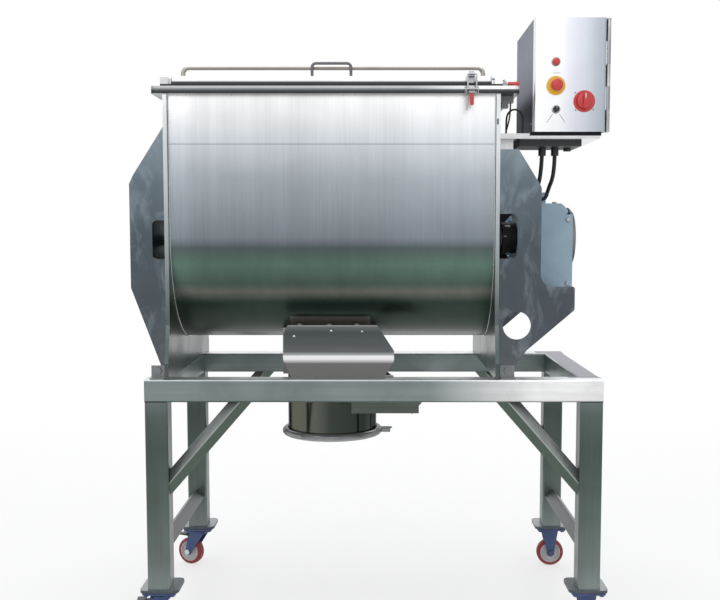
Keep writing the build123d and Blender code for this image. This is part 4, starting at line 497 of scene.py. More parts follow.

# In these steels the down colour is painted on faces that look down and the up colour on faces that look up: painted
# shade and painted highlight, and where down is paler, as on the shelf and the clamp, a painted reflection of the floor
materials = {
    "shell": makeSteel(
        "shellSteel", shellReflectionTones, grainOf["alongZ"], 0.30, smudge=0.25, contrast=0.06, down=None, across=shellAcrossShading,
        # The zone is painted shade: a dark patch low on the shell between x -268 and -12, below z 992
        inner=(0.70, 0.71, 0.72), zone=[([
            zoneAt((0, 0, -1), 0, 0, 992), zoneAt((1, 0, 0), -268, 0, 0), zoneAt((-1, 0, 0), -12, 0, 0)
        ], (0.085, 0.080, 0.070), 0.42, 0.15)],
    ),
    "endPlate": makeSteel(
        "endPlateSteel", endPlateReflectionTones, grainOf["alongZ"], 0.27, contrast=0.08, inner=(0.70, 0.71, 0.72)
    ),
    "gusset": makeSteel(
        "gussetSteel", gussetReflectionTones, (10, 10, 7), 0.36, smudge=0.5, size=3.2, bump=0.0, contrast=0.14, wipe=0.42
    ),
    "rim": makeSteel(
        "rimSteel", rimShadingTones, grainOf["alongX"], 0.22, smudge=0.3, contrast=0.06, up=(0.80, 0.81, 0.82),
        # pale is a painted highlight on the rim above z 1687, fading in from x 110 to 330
        pale=((110, 330), [zoneAt((0, 0, 1), 0, 0, 1687)], (0.84, 0.85, 0.86)),
    ),
    "lid": makeSteel(
        "lidSteel", lidShadingTones, grainOf["alongX"], 0.26, smudge=0.4, contrast=0.06, up=(0.80, 0.81, 0.82),
        down=(0.30, 0.31, 0.32),
    ),
    "tube": makeSteel(
        "tubeSteel", railShadingTones, (3, 120, 120), 0.34, smudge=0.7, contrast=0.07, up=(0.62, 0.64, 0.65),
        # pale is a painted highlight on the front rail's front face, fading in from x 170 to 500; the zone is painted
        # shade on the top of the short right rail, beyond x 600
        down=(0.05, 0.062, 0.056), pale=((170, 500), [zoneAt((0, -1, 0), 0, -341, 0)], (0.97, 0.97, 0.97)),
        zone=[([
            zoneAt((0, 0, 1), 0, 0, 811.5), zoneAt((1, 0, 0), 600, 0, 0), zoneAt((0, 1, 0), 0, -341, 0)
        ], (0.22, 0.225, 0.26), 0.36, 1.0)],
    ),
    "leg": makeSteel(
        "legSteel", legReflectionTones, (60, 60, 3), 0.34, smudge=0.5, contrast=0.12, up=(0.46, 0.48, 0.48),
        down=(0.035, 0.050, 0.040),
    ),
    "brace": makeSteel(
        "braceSteel", (0.44, 0.47, 0.47), (60, 60, 6), 0.42, smudge=0.4, contrast=0.16, up=(0.72, 0.74, 0.74),
        down=(0.10, 0.135, 0.112), fall=-0.4,
        # The zone is painted shade: the braces are darker below z 430
        zone=[([zoneAt((0, 0, -1), 0, 0, 430)], (0.13, 0.14, 0.145), 0.40, 1.0)],
    ),
    "chamber": makeSteel(
        "chamberSteel", (0.34, 0.33, 0.31), (60, 60, 60), 0.30, contrast=0.2, up=(0.90, 0.90, 0.89),
        down=(0.12, 0.12, 0.11), metal=0.35,
    ),
    "bright": makeSteel(
        "brightSteel", (0.55, 0.56, 0.57), (90, 90, 90), 0.16, smudge=0.3, contrast=0.22, down=(0.07, 0.075, 0.075),
        up=(0.80, 0.80, 0.81),
    ),
    "agitator": makeSteel("agitatorSteel", (0.62, 0.62, 0.63), (60, 200, 200), 0.28, up=(0.75, 0.75, 0.76)),
    "cabinetSide": makeSteel(
        "cabinetSteel", boxSideReflectionTones, grainOf["alongZ"], 0.30, smudge=0.2, contrast=0.05, up=(0.75, 0.76, 0.78),
        edge=(0.26, 0.26, 0.29),
    ),
    "door": makeSteel(
        "doorSteel", doorReflectionTones, (260, 260, 4), 0.30, axis=0, smudge=0.15, contrast=0.04, down=(0.15, 0.15, 0.16)
    ),
    "guard": makeSteel(
        "guardSteel", guardReflectionTones, (4, 30, 30), 0.32, smudge=0.0, contrast=0.02, bump=0.0, down=None, metal=0.55
    ),
    "spout": makeSteel(
        "spoutSteel", spoutReflectionTones, (40, 40, 4), 0.14, smudge=0.3, contrast=0.06, turn=(-143.5, 0),
        down=(0.03, 0.032, 0.03), edge=(0.3, 0.3, 0.3),
    ),
    "clamp": makeSteel(
        "clampSteel", (0.34, 0.355, 0.35), (22, 22, 22), 0.20, smudge=0.3, contrast=0.35, up=(0.42, 0.44, 0.44),
        down=(0.42, 0.43, 0.42), bump=0.0, metal=0.55, edge=(0.4, 0.4, 0.4),
    ),
    "plateZinc": makeSteel(
        "footPlateSteel", (0.11, 0.13, 0.15), (60, 60, 60), 0.38, smudge=0.7, contrast=0.15, up=(0.36, 0.38, 0.40)
    ),
    "valve": makeSteel("valveSteel", (0.12, 0.14, 0.125), grainOf["alongX"], 0.30, down=(0.035, 0.05, 0.035)),
    "handles": makeSteel(
        "handleSteel", (0.46, 0.44, 0.40), grainOf["alongX"], 0.20, smudge=0.4, down=(0.14, 0.13, 0.12),
        # The zone is painted shade: the handles are darker in front of y -320
        up=(0.80, 0.79, 0.77), zone=[([zoneAt((0, -1, 0), 0, -320, 0)], (0.14, 0.14, 0.15), 0.30, 1.0)],
    ),
    "shelf": makeSteel(
        "shelfSteel", (0.66, 0.67, 0.69), grainOf["alongY"], 0.27, smudge=0.3, down=(0.86, 0.87, 0.88),
        up=(0.85, 0.85, 0.86), zone=[
            ([zoneAt((0, 0, 1), 0, 0, 1553.5), zoneAt((1, 0, 0), 478, 0, 0)], blackPaint, 0.5, 0.0),
            ([zoneAt((0, 0, -1), 0, 0, 1543.8), zoneAt((1, 0, 0), 446, 0, 0)], blackPaint, 0.5, 0.0),
        ],
    ),
    "bracket": makeSteel("bracketSteel", (0.24, 0.25, 0.26), (60, 60, 60), 0.34, smudge=0.6, up=(0.60, 0.61, 0.62)),
    "weld": makeSteel("weldSteel", (0.66, 0.68, 0.68), (300, 300, 300), 0.24, smudge=0.3, down=(0.30, 0.32, 0.31)),
    "cowl": makeSteel(
        "cowlSteel", (0.30, 0.32, 0.32), (60, 60, 60), 0.36, smudge=0.4, contrast=0.12, edge=(0.2, 0.2, 0.2)
    ),
    "paint": makeCoated("blueGreyPaint", (0.37, 0.52, 0.63), 0.40, 0.08, 0.25, 700, coat=0.15),
    "bearingPaint": makeCoated("bearingPaint", (0.05, 0.06, 0.065), 0.42, 0.10, 0.3, 500),
    "casterBlue": makeCoated("casterBlue", (0.030, 0.062, 0.19), 0.34, 0.12, 0.2, 800, coat=0.2),
    "zinc": makeSteel("zincPlate", (0.50, 0.52, 0.54), (120, 120, 120), 0.34, smudge=0.6, up=(0.70, 0.71, 0.72)),
    "black": makeCoated("blackPlasticAndShade", (0.025, 0.025, 0.027), 0.45, 0.1, 0.2, 1200, dirt=0.12),
    "fittings": makeCoated(
        "fittingPlastic", (0.025, 0.025, 0.027), 0.45, 0.1, 0.2, 1200, dirt=0.12,
        zone=([zoneAt((-1, 0, 0), 440, 0, 0)], (0.20, 0.20, 0.21), 0.4),
    ),
    # Black rubber of the gasket and seals, also used as painted shade on the plate round the shaft
    "rubberAndPaintedShade": makeCoated("sealRubberAndPaintedShade", (0.018, 0.018, 0.018), 0.62, 0.1, 0.3, 1500, dirt=0.10),
    "cable": makeCoated("cableJacket", (0.012, 0.012, 0.013), 0.5, 0.1, 0.2, 1600, dirt=0.06),
    "greyPlastic": makeCoated("greyPlastic", (0.50, 0.51, 0.51), 0.42, 0.06, 0.2, 1200),
    "yellow": makeCoated("yellowPlastic", (0.86, 0.50, 0.01), 0.30, 0.05, 0.1, 1500, coat=0.3, dirt=0.05),
    "red": makeCoated("redPlastic", redPlastic, 0.28, 0.06, 0.1, 1500, coat=0.35, dirt=0.05),
    "tread": makeCoated("wheelTread", (0.28, 0.020, 0.022), 0.46, 0.12, 0.25, 900, dirt=0.3),
    "wheelCore": makeCoated("wheelCore", (0.56, 0.55, 0.54), 0.42, 0.08, 0.2, 900, dirt=0.2),
    "white": makeCoated("whitePrint", (0.80, 0.80, 0.80), 0.40, 0.03, 0.05, 1500, dirt=0.05),
    "inkGrey": makeCoated("inkGrey", (0.10, 0.10, 0.12), 0.50, 0.03, 0.05, 1500, dirt=0.05),
}
print("materials ready")


# Surfaces


def meshFromGrid(grid, closeU=False, closeV=False):
    # A grid of points (rows, columns, 3) becomes quads between neighbouring rows and columns
    rows, columns = grid.shape[:2]
    index = np.arange(rows * columns).reshape(rows, columns)
    if closeU:
        index = np.vstack([index, index[:1]])
    if closeV:
        index = np.hstack([index, index[:, :1]])
    quads = np.stack([index[:-1, :-1], index[:-1, 1:], index[1:, 1:], index[1:, :-1]], axis=-1).reshape(-1, 4)
    return grid.reshape(-1, 3), quads


def joinSurfaces(parts):
    # Stack several surfaces into one set of points and faces
    points = []
    quads = []
    count = 0
    for partPoints, partQuads in parts:
        points.append(partPoints)
        quads.append(partQuads + count)
        count += len(partPoints)
    return np.vstack(points), np.vstack(quads)


def addPiece(name, surface, material, body, replaces=(), smooth=True, crease=35):
    points, quads = surface
    mesh = bpy.data.meshes.new(name)
    mesh.from_pydata(points.tolist(), [], quads.tolist())
    work = bmesh.new()
    work.from_mesh(mesh)
    bmesh.ops.remove_doubles(work, verts=work.verts, dist=1e-6)
    bmesh.ops.dissolve_degenerate(work, edges=work.edges, dist=1e-7)
    bmesh.ops.recalc_face_normals(work, faces=work.faces)
    limit = math.radians(crease)
    for edge in work.edges:
        edge.smooth = not (edge.is_manifold and edge.calc_face_angle(0) > limit)
    for face in work.faces:
        face.smooth = smooth
    work.to_mesh(mesh)
    work.free()
    mesh.materials.append(materials[material])
    piece = bpy.data.objects.new(name, mesh)
    bpy.context.collection.objects.link(piece)
    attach(piece, body)
    if replaces:
        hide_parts(*replaces)
    return piece


def frameOf(axis):
    # Two unit directions square to an axis
    along = np.array(axis, float)
    along /= np.linalg.norm(along)
    helper = np.array([0, 0, 1.0]) if abs(along[2]) < 0.9 else np.array([1.0, 0, 0])
    side = np.cross(helper, along)
    side /= np.linalg.norm(side)
    return along, side, np.cross(along, side)


def latheSurface(profile, origin, axis, segments=48, swell=None):
    # Point = origin + axis * a + (cos t * side + sin t * up) * r(a, t), for a profile of (a, r) pairs
    along, side, up = frameOf(axis)
    profile = np.array(profile, float)
    angle = np.linspace(0, 2 * np.pi, segments, endpoint=False)
    radius = np.repeat(profile[:, 1:2], segments, axis=1)
    if swell is not None:
        radius = radius * swell(profile[:, :1], angle[None, :])
    ring = np.cos(angle)[None, :, None] * side + np.sin(angle)[None, :, None] * up
    grid = np.array(origin) + profile[:, 0][:, None, None] * along + radius[:, :, None] * ring
    return meshFromGrid(grid, closeV=True)


def roundedBlock(low, high, radius, rows=18, columns=36):
    # Corner-rounded block: each sphere normal n gives sign(n) * (half - radius) + radius * n
    low, high = np.array(low, float), np.array(high, float)
    half = (high - low) / 2
    radius = min(radius, *half)
    tilt = np.linspace(0, np.pi, rows)[:, None]
    turn = (np.arange(columns) + 0.5)[None, :] * 2 * np.pi / columns
    normal = np.stack([
        np.sin(tilt) * np.cos(turn), np.sin(tilt) * np.sin(turn), np.cos(tilt) * np.ones_like(turn)
    ], axis=-1)
    spread = np.where(normal >= 0, 1.0, -1.0)
    grid = (low + high) / 2 + spread * (half - radius) + radius * normal
    caps = []
    for row in (0, -1):
        ring = grid[row]
        centre = np.repeat(ring.mean(axis=0, keepdims=True), columns, axis=0)
        caps.append(centre)
    grid = np.concatenate([caps[0][None], grid, caps[1][None]], axis=0)
    return meshFromGrid(grid, closeV=True)


def tubeAlong(path, radius, segments=14, reference=(0, 0, 1)):
    # Circle carried along a path: P(s) + r (cos t N + sin t B), with N square to the tangent and a fixed reference
    path = np.array(path, float)
    tangent = np.gradient(path, axis=0)
    tangent /= np.linalg.norm(tangent, axis=1, keepdims=True)
    normal = np.cross(tangent, np.array(reference, float))
    normal /= np.linalg.norm(normal, axis=1, keepdims=True)
    binormal = np.cross(tangent, normal)
    angle = np.linspace(0, 2 * np.pi, segments, endpoint=False)
    size = np.broadcast_to(np.array(radius, float), (len(path),))[:, None, None]
    ring = np.cos(angle)[None, :, None] * normal[:, None] + np.sin(angle)[None, :, None] * binormal[:, None]
    grid = path[:, None] + size * ring
    ends = [np.repeat(path[i][None, None], segments, axis=1) for i in (0, -1)]
    return meshFromGrid(np.concatenate([ends[0], grid, ends[1]], axis=0), closeV=True)


def hexHead(origin, axis, across, height):
    # Six-sided head: radius = flat / cos(angle to the nearest flat), with a chamfered crown
    def sixSides(_, angle):
        return (1 / np.cos((angle + np.pi / 6) % (np.pi / 3) - np.pi / 6))
    flat = across / 2
    profile = [(0, 0), (0, flat), (height * 0.8, flat), (height, flat * 0.86), (height, 0)]
    return latheSurface(profile, origin, axis, 24, sixSides)


def domedScrew(origin, axis, radius, height):
    # Quarter-ellipse profile: r cos t, h sin t, with a small socket in the crown
    t = np.linspace(0, np.pi / 2 - 0.45, 7)
    profile = [(0, 0)] + list(zip(height * np.sin(t), radius * np.cos(t)))
    socket = radius * 0.4
    profile += [(height * 0.98, socket), (height * 0.5, socket * 0.9), (height * 0.5, 0)]
    return latheSurface(profile, origin, axis, 20)


def dressNode(node, material):
    # Give a CAD node a finished material in place of its packed one
    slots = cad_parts[node].data.materials
    slots.clear()
    slots.append(materials[material])


nodeFinish = {
    "shell": ["trough_shell"], "endPlate": ["trough_end_plates"],
    "gusset": ["left_gussets", "right_gussets", "cross_plates"], "rim": ["trough_rim"], "tube": ["stand_rails"],
    "leg": ["stand_legs"], "brace": ["stand_braces"], "plateZinc": ["leg_foot_plates"],
    "bracket": ["foot_brackets"],
    "zinc": ["lid_fittings", "rim_fittings"],
    "bright": ["latch_hook_front", "latch_hook_end", "cylinder_rod", "door_hinge"], "cowl": ["gearbox_end_cap"],
    "valve": ["valve_cylinder"], "door": ["control_door"],
    "agitator": ["main_shaft", "outer_ribbons", "inner_ribbons", "ribbon_arms", "discharge_flap"],
    "cabinetSide": ["control_box_body"], "lid": ["lid_pan"], "guard": ["valve_guard"],
    "chamber": ["flap_chamber"], "handles": ["lid_handles"],
    "shelf": ["control_shelf"], "paint": ["gearbox_housing", "gear_motor"], "bearingPaint": ["bearing_housing"],
    "casterBlue": ["fixed_caster_forks", "caster_top_plates"],
    "rubberAndPaintedShade": ["lid_gasket", "shaft_seals", "drive_coupling"],
    "black": ["key_switch_knob"], "fittings": ["electrical_fittings"],
    "greyPlastic": ["control_gear", "door_fittings"], "yellow": ["emergency_stop_plate"],
    "red": ["emergency_stop_button", "isolator_knob", "latch_lever_front", "latch_lever_end"],
}
for finish, nodes in nodeFinish.items():
    for node in nodes:
        dressNode(node, finish)
print("CAD nodes dressed")


# Caster wheels and forks

casterSizes = {
    "treadRadius": 50, "coreRadius": 38, "treadHalf": 16, "coreHalf": 15, "axleHeight": 50,
    "trail": 38, "legX": 665, "legY": 345, "turns": {"front_left": 8, "rear_left": -24},
}


def addWheel(name, end, side):
    sizes = casterSizes
    turn = math.radians(sizes["turns"].get(name, 0))
    lean = sizes["trail"] if end < 0 else 0
    centre = atMm(
        end * sizes["legX"] - lean * math.cos(turn), side * sizes["legY"] - lean * math.sin(turn), sizes["axleHeight"]
    )
    axis = (-math.sin(turn), math.cos(turn), 0)
    body = "wheel_" + name + "_body"
    # Tread: a crowned belt whose radius falls off towards both shoulders
    t = np.linspace(-1, 1, 19)
    half = sizes["treadHalf"] / 1000
    outer = (sizes["treadRadius"] - 5.0 * np.abs(t) ** 5) / 1000
    inner = (sizes["coreRadius"] - 0.2) / 1000
    belt = [(-half * 0.96, inner)] + list(zip(t * half, outer)) + [(half * 0.96, inner)]
    belt = belt + [belt[0]]
    addPiece("tread_" + name, latheSurface(belt, centre, axis, 72), "tread", body, ("wheel_" + name,))
    # Core: dished disc with a raised hub
    face = sizes["coreHalf"] / 1000
    core = sizes["coreRadius"] / 1000
    hub = 0.0125
    half1 = [
        (0, 0.0062), (face + 0.001, 0.0062), (face + 0.001, hub - 0.002), (face, hub), (face * 0.45, hub + 0.002),
        (face * 0.40, core * 0.62), (face * 0.52, core * 0.80), (face * 0.93, core * 0.88), (face, core * 0.93),
        (face, core - 0.0004), (face * 0.9, core),
    ]
    mirrored = [(-a, r) for a, r in reversed(half1[1:])]
    profile = half1[1:] + mirrored
    profile = profile + [profile[0]]
    addPiece("core_" + name, latheSurface(profile, centre, axis, 72), "wheelCore", body)


for casterName, casterEnd, casterSide in (
    ("front_left", -1, -1), ("rear_left", -1, 1), ("front_right", 1, -1), ("rear_right", 1, 1)
):
    addWheel(casterName, casterEnd, casterSide)


def makeForkFinish(name, side):
    # Blue pressing with zinc bolt heads outside the cheeks and a black pedal at the tail
    turn = math.radians(casterSizes["turns"][name])
    along = (math.cos(turn), math.sin(turn), 0)
    across = (-math.sin(turn), math.cos(turn), 0)
    pivot = np.array([-casterSizes["legX"], side * casterSizes["legY"], 0.0])
    tail = pivot - 34.2 * np.array(along)
    material, tree, shader, point = startMaterial("forkFinish_" + name)
    marks = placeGroup(tree, handling, point, Size=9.0)
    colour = addMix(tree, addMath(tree, "MULTIPLY", marks["Smudge"], 0.3), (0.030, 0.062, 0.19), (0.07, 0.11, 0.20))
    pedal = boundedMask(tree, point, [zoneAt((-along[0], -along[1], 0), *tail), zoneAt((0, 0, 1), 0, 0, 107.5)])
    colour = addMix(tree, pedal, colour, (0.02, 0.02, 0.022))
    metal = None
    for sign in (-1, 1):
        edge = pivot + sign * 22.3 * np.array(across)
        mask = boundedMask(tree, point, [
            zoneAt((sign * across[0], sign * across[1], 0), *edge), zoneAt((0, 0, -1), 0, 0, 66)
        ])
        metal = mask if metal is None else addMath(tree, "MAXIMUM", metal, mask)
    colour = addMix(tree, metal, colour, (0.60, 0.62, 0.64))
    tree.links.new(colour, shader.inputs["Base Color"])
    tree.links.new(metal, shader.inputs["Metallic"])
    roughness = addRange(tree, marks["Smudge"], 0.0, 1.0, 0.32, 0.46)
    tree.links.new(roughness, shader.inputs["Roughness"])
    addBump(tree, shader, addNoise(tree, point, 700, 2), 0.15, 0.0002)
    return material


for casterName, casterSide in (("front_left", -1), ("rear_left", 1)):
    materials["fork_" + casterName] = makeForkFinish(casterName, casterSide)
    dressNode("swivel_fork_" + casterName, "fork_" + casterName)
print("casters ready")


# Control panel

panelSizes = {
    "front": -300, "lamp": (554, 1777), "stop": (555, 1705), "key": (556, 1634), "isolator": (642, 1658),
    "lampRadius": 14, "stopPlateRadius": 29, "stopHeadRadius": 19, "keyRadius": 13, "isolatorRadius": 33,
}


def onPanel(centre, out=0.0):
    return atMm(centre[0], panelSizes["front"] - out, centre[1])


def panelLathe(name, centre, profileMm, material, body, replaces=(), segments=56, swell=None):
    # Profile in millimetres: (distance in front of the door, radius)
    profile = [(a / 1000, r / 1000) for a, r in profileMm]
    surface = latheSurface(profile, onPanel(centre), (0, -1, 0), segments, swell)
    return addPiece(name, surface, material, body, replaces)


def domeProfile(base, height, radius, count=9):
    # Ellipse quarter from the rim to the crown
    t = np.linspace(0, np.pi / 2, count)
    return [(base + height * math.sin(a), radius * math.cos(a)) for a in t]


lampBezel = [(0, 14), (3.2, 14), (4.6, 13.2), (4.9, 11.6), (4.2, 11.0), (0, 11.0), (0, 14)]
panelLathe("lampBezel", panelSizes["lamp"], lampBezel, "bright", "door", ("door_fittings",))
lampLens = [(0.2, 0), (0.2, 10.9), (4.4, 10.9)] + domeProfile(5.0, 6.6, 10.9)
panelLathe("lampLens", panelSizes["lamp"], lampLens, "red", "door")
stopPlate = [
    (0, 29), (2.4, 29), (3.6, 28.2), (4.0, 26.5), (4.0, 17.2), (9.2, 16.2), (9.9, 15.0), (9.9, 11.4), (0, 11.4), (0, 29)
]
panelLathe("stopPlate", panelSizes["stop"], stopPlate, "yellow", "door", ("emergency_stop_plate",))
stopHead = [(7.2, 0), (7.2, 10.8), (16.4, 10.8), (16.6, 17.2), (18.2, 18.7), (22.0, 19.0), (26.0, 18.4)]
stopHead += domeProfile(27.5, 6.4, 17.6, 9)
panelLathe(
    "stopHead", panelSizes["stop"], stopHead, "red", "stop_button_body", ("emergency_stop_button",)
)
keyRing = [(0, 13), (3.6, 13), (4.8, 12.2), (5.0, 10.4), (4.4, 9.6), (0, 9.6), (0, 13)]
panelLathe("keyRing", panelSizes["key"], keyRing, "bright", "door")
isolatorDish = [(0, 33), (2.6, 33), (4.4, 31.6), (4.9, 29.0), (4.2, 25.4), (4.2, 0), (0, 0), (0, 33)]
panelLathe("isolatorDish", panelSizes["isolator"], isolatorDish, "red", "door")


def knobSwell(along, angle):
    # Pinched grip: a disc drawn in on both sides
    return 1 - 0.16 * np.cos(2 * angle) ** 2


isolatorBody = [(5.3, 0), (5.3, 23.5), (12.2, 23.9), (14.0, 22.6)] + domeProfile(14.0, 1.6, 22.4, 5)
panelLathe(
    "isolatorDisc", panelSizes["isolator"], isolatorBody, "red", "isolator_body", ("isolator_knob",)
)
x, z = panelSizes["isolator"]
grip = roundedBlock(atMm(x - 6.5, -300 - 27.8, z - 23.5), atMm(x + 6.5, -300 - 13.5, z + 23.5), 0.005)
addPiece("isolatorGrip", grip, "red", "isolator_body")
line = roundedBlock(atMm(x - 1.2, -300 - 27.9, z + 6), atMm(x + 1.2, -300 - 27.0, z + 21), 0.0004, 8, 16)
addPiece("isolatorPointer", line, "white", "isolator_body")
keyCap = [(5.3, 0), (5.3, 8.8), (9.0, 8.8), (10.0, 8.0), (10.4, 0)]
panelLathe("keyCap", panelSizes["key"], keyCap, "black", "key_knob_body", ("key_switch_knob",))
x, z = panelSizes["key"]
keyGrip = roundedBlock(atMm(x - 3, -300 - 18, z - 8), atMm(x + 3, -300 - 9.6, z + 8), 0.0022)
addPiece("keyGrip", keyGrip, "black", "key_knob_body")
keyMark = roundedBlock(atMm(x - 0.7, -300 - 18.0, z + 1), atMm(x + 0.7, -300 - 17.4, z + 7.4), 0.0003, 8, 16)
addPiece("keyMark", keyMark, "white", "key_knob_body")


def printedArc(name, centre, radius, fromDegrees, toDegrees, width):
    # Thin printed line on the door: a flat ribbon r(t) +- width / 2, raised by a hair
    angle = np.radians(np.linspace(fromDegrees, toDegrees, 25))
    radii = np.array([radius - width / 2, radius + width / 2])
    grid = np.stack([
        centre[0] + radii[:, None] * np.cos(angle), np.full((2, angle.size), panelSizes["front"] - 0.12),
        centre[1] + radii[:, None] * np.sin(angle),
    ], axis=-1) / 1000 + drawingShift
    back = grid.copy()
    back[..., 1] += 0.0001
    ring = np.stack([grid[0], grid[1], back[1], back[0]], axis=0)
    ends = [np.repeat(ring[:, index].mean(axis=0)[None, None], 4, axis=0) for index in (0, -1)]
    ring = np.concatenate([ends[0], ring, ends[1]], axis=1)
    addPiece(name, meshFromGrid(ring, closeU=True), "inkGrey", "door", smooth=False)


def printedLine(name, start, end, width):
    # Thin printed stroke between two points of the door, as a flat bar raised by a hair
    start, end = np.array(start, float), np.array(end, float)
    side = np.array([-(end - start)[1], (end - start)[0]]) * width / 2 / np.linalg.norm(end - start)
    front = panelSizes["front"] - 0.12
    corners = np.array([start - side, start + side, end + side, end - side])
    rows = [
        np.stack([corners[:, 0], np.full(4, depth), corners[:, 1]], axis=-1) / 1000 + drawingShift
        for depth in (front, front + 0.1)
    ]
    caps = [np.repeat(row.mean(axis=0)[None], 4, axis=0) for row in rows]
    grid = np.stack([caps[0], rows[0], rows[1], caps[1]], axis=0)
    addPiece(name, meshFromGrid(grid, closeV=True), "inkGrey", "door", smooth=False)


x, z = panelSizes["key"]
printedLine("keyLineLeft", (x - 10, z - 15), (x - 27, z - 40), 1.5)
printedLine("keyLineRight", (x + 11, z - 15), (x + 28, z - 40), 1.5)
printedLine("stopLabelBar", (x - 12, 1743), (x + 12, 1743), 1.4)
for index, spot in enumerate((138, 226, 318)):
    printedArc("isolatorMark" + str(index), panelSizes["isolator"], 37.5, spot - 4, spot + 4, 3)
print("control panel ready")


# Latches, screws and small marks

# Name, low and high corner, edge radius with its rows and columns, material
latchBlocks = [
    ("frontLatchGrip", (287, -377, 1637), (299, -365, 1674.5), (0.0055, 20, 40), "red"),
    ("frontLatchLever", (283.6, -376, 1671), (302.4, -366, 1689.5), (0.003,), "bright"),
    ("frontLatchBoss", (283.6, -385.5, 1679.2), (302.4, -371, 1688.8), (0.0045,), "bright"),
    ("endLatchGrip", (407.5, -287, 1707), (446, -273, 1719), (0.0055, 20, 40), "red"),
    ("endLatchLever", (392.5, -289.4, 1708), (411, -270.6, 1718), (0.003,), "bright"),
    ("endLatchBoss", (393.2, -289.4, 1713), (402.8, -270.6, 1727.5), (0.0045,), "bright"),
    ("endLatchTab", (433, -285.5, 1700), (446, -274.5, 1720.5), (0.0045,), "red"),
]
for name, low, high, rounding, material in latchBlocks:
    lever = "latch_lever_front" if name.startswith("front") else "latch_lever_end"
    replaced = (lever,) if name.endswith("Grip") else ()
    block = roundedBlock(atMm(*low), atMm(*high), *rounding)
    addPiece(name, block, material, lever + "_body", replaced)
# Lock pin hanging beside the front latch on a ring
pinPath = np.array([(281.5, -369, 1668), (277.5, -369, 1622)]) / 1000 + drawingShift
pinPath = pinPath[0] + (pinPath[-1] - pinPath[0]) * np.linspace(0, 1, 13)[:, None]
angle = np.linspace(0, 2 * np.pi, 41)
ringPath = np.stack([
    281.5 + 6.5 * np.cos(angle), np.full(angle.size, -369.0), 1672 + 6.5 * np.sin(angle)
], axis=-1) / 1000 + drawingShift
pinParts = [tubeAlong(pinPath, 0.0027, 14, (0, 1, 0)), tubeAlong(ringPath, 0.0011, 8, (0, 1, 0))]
addPiece("latchPin", joinSurfaces(pinParts), "bright", "machine")
# Set screws of the coupling
keyOne = roundedBlock(atMm(436, -36, 1275), atMm(455, -22, 1283), 0.002)
keyTwo = roundedBlock(atMm(430, -52, 1243), atMm(441, -44, 1248), 0.002)
addPiece("couplingScrews", joinSurfaces([keyOne, keyTwo]), "zinc", "agitator")

# Socket screws on the guard's sloping face and on the cabinet's sides
slope = np.array([0, -84.0, 113.0])
slope /= np.linalg.norm(slope)
guardScrews = []
for x, along in ((-252, 0.36), (-136, 0.18), (-38, 0.20)):
    start = np.array([x, -217 - 113 * along, 964 - 84 * along])
    guardScrews.append(domedScrew(atMm(*start), (0, slope[1], slope[2]), 0.0062, 0.0042))
addPiece("guardScrews", joinSurfaces(guardScrews), "bright", "machine")
sideScrews = [domedScrew(atMm(488.9, y, z), (-1, 0, 0), 0.004, 0.0025) for y, z in ((-240, 1592), (70, 1592))]
sideScrews += [domedScrew(atMm(708.1, y, z), (1, 0, 0), 0.0045, 0.003) for y in (-230, 70) for z in (1590, 1885)]
addPiece("cabinetScrews", joinSurfaces(sideScrews), "bright", "machine")
flangeBolts = [
    hexHead(atMm(-726 + 0.1, sy * 48, 1240 + sz * 48), (-1, 0, 0), 0.018, 0.009)
    for sy in (-1, 1) for sz in (-1, 1)
]
addPiece("bearingBolts", joinSurfaces(flangeBolts), "zinc", "machine")
coverBolts = [
    hexHead(atMm(x, y, 1352.6), (0, 0, 1), 0.013, 0.0055) for x in (500, 590) for y in (-98, 98)
]
coverBolts += [
    hexHead(atMm(x, -115.0, z), (0, -1, 0), 0.013, 0.006) for x in (500, 632) for z in (1092, 1300)
]
addPiece("gearboxBolts", joinSurfaces(coverBolts), "zinc", "machine")
# A plate closing the notch round the shaft in the rear gusset, black as painted shade, since the steel there lies in
# shadow
motorShadePlate = {
    "x": 560, "z": 1240, "bore": 97, "left": -106, "right": -53, "low": -106, "high": 160,
    "front": 335.5, "back": 338.5,
}


def makeMotorShadePlate():
    # Flat plate between a circle arc and three sides of a rectangle: a straight blend of the two outlines
    u = np.linspace(0, 1, 61)
    sizes = motorShadePlate
    corner = [
        (sizes["right"], sizes["high"]), (sizes["left"], sizes["high"]), (sizes["left"], sizes["low"]),
        (sizes["right"], sizes["low"]),
    ]
    stops = [0, 0.22, 0.78, 1]
    outer = np.stack([np.interp(u, stops, [point[i] for point in corner]) for i in (0, 1)], axis=-1)
    turn = math.acos(sizes["right"] / sizes["bore"])
    angle = turn + u * 2 * (math.pi - turn)
    inner = sizes["bore"] * np.stack([np.cos(angle), np.sin(angle)], axis=-1)
    rings = []
    for depth in (sizes["front"], sizes["back"]):
        for outline in ((inner, outer) if depth == sizes["front"] else (outer, inner)):
            rings.append(np.stack([
                outline[:, 0] + sizes["x"], np.full(u.size, depth), outline[:, 1] + sizes["z"]
            ], axis=-1) / 1000 + drawingShift)
    grid = np.stack(rings, axis=0)
    ends = [np.repeat(grid[:, i].mean(axis=0)[None, None], 4, axis=0) for i in (0, -1)]
    grid = np.concatenate([ends[0], grid, ends[1]], axis=1)
    addPiece("motorShadePlate", meshFromGrid(grid, closeU=True), "rubberAndPaintedShade", "machine", smooth=False)


makeMotorShadePlate()


# Thin weld beads where the shell meets the end plates: straight sides and a half circle
def shellBead(name, x):
    t = np.linspace(0, np.pi, 81)
    radius = 329.2
    high = np.linspace(1670, 1240, 12)[:-1]
    y = np.concatenate([np.full(high.size, -radius), -radius * np.cos(t), np.full(high.size, radius)])
    z = np.concatenate([high, 1240 - radius * np.sin(t), high[::-1]])
    path = np.stack([np.full(y.size, x), y, z], axis=-1) / 1000 + drawingShift
    addPiece(name, tubeAlong(path, 0.0016, 10, (1, 0, 0)), "weld", "machine")


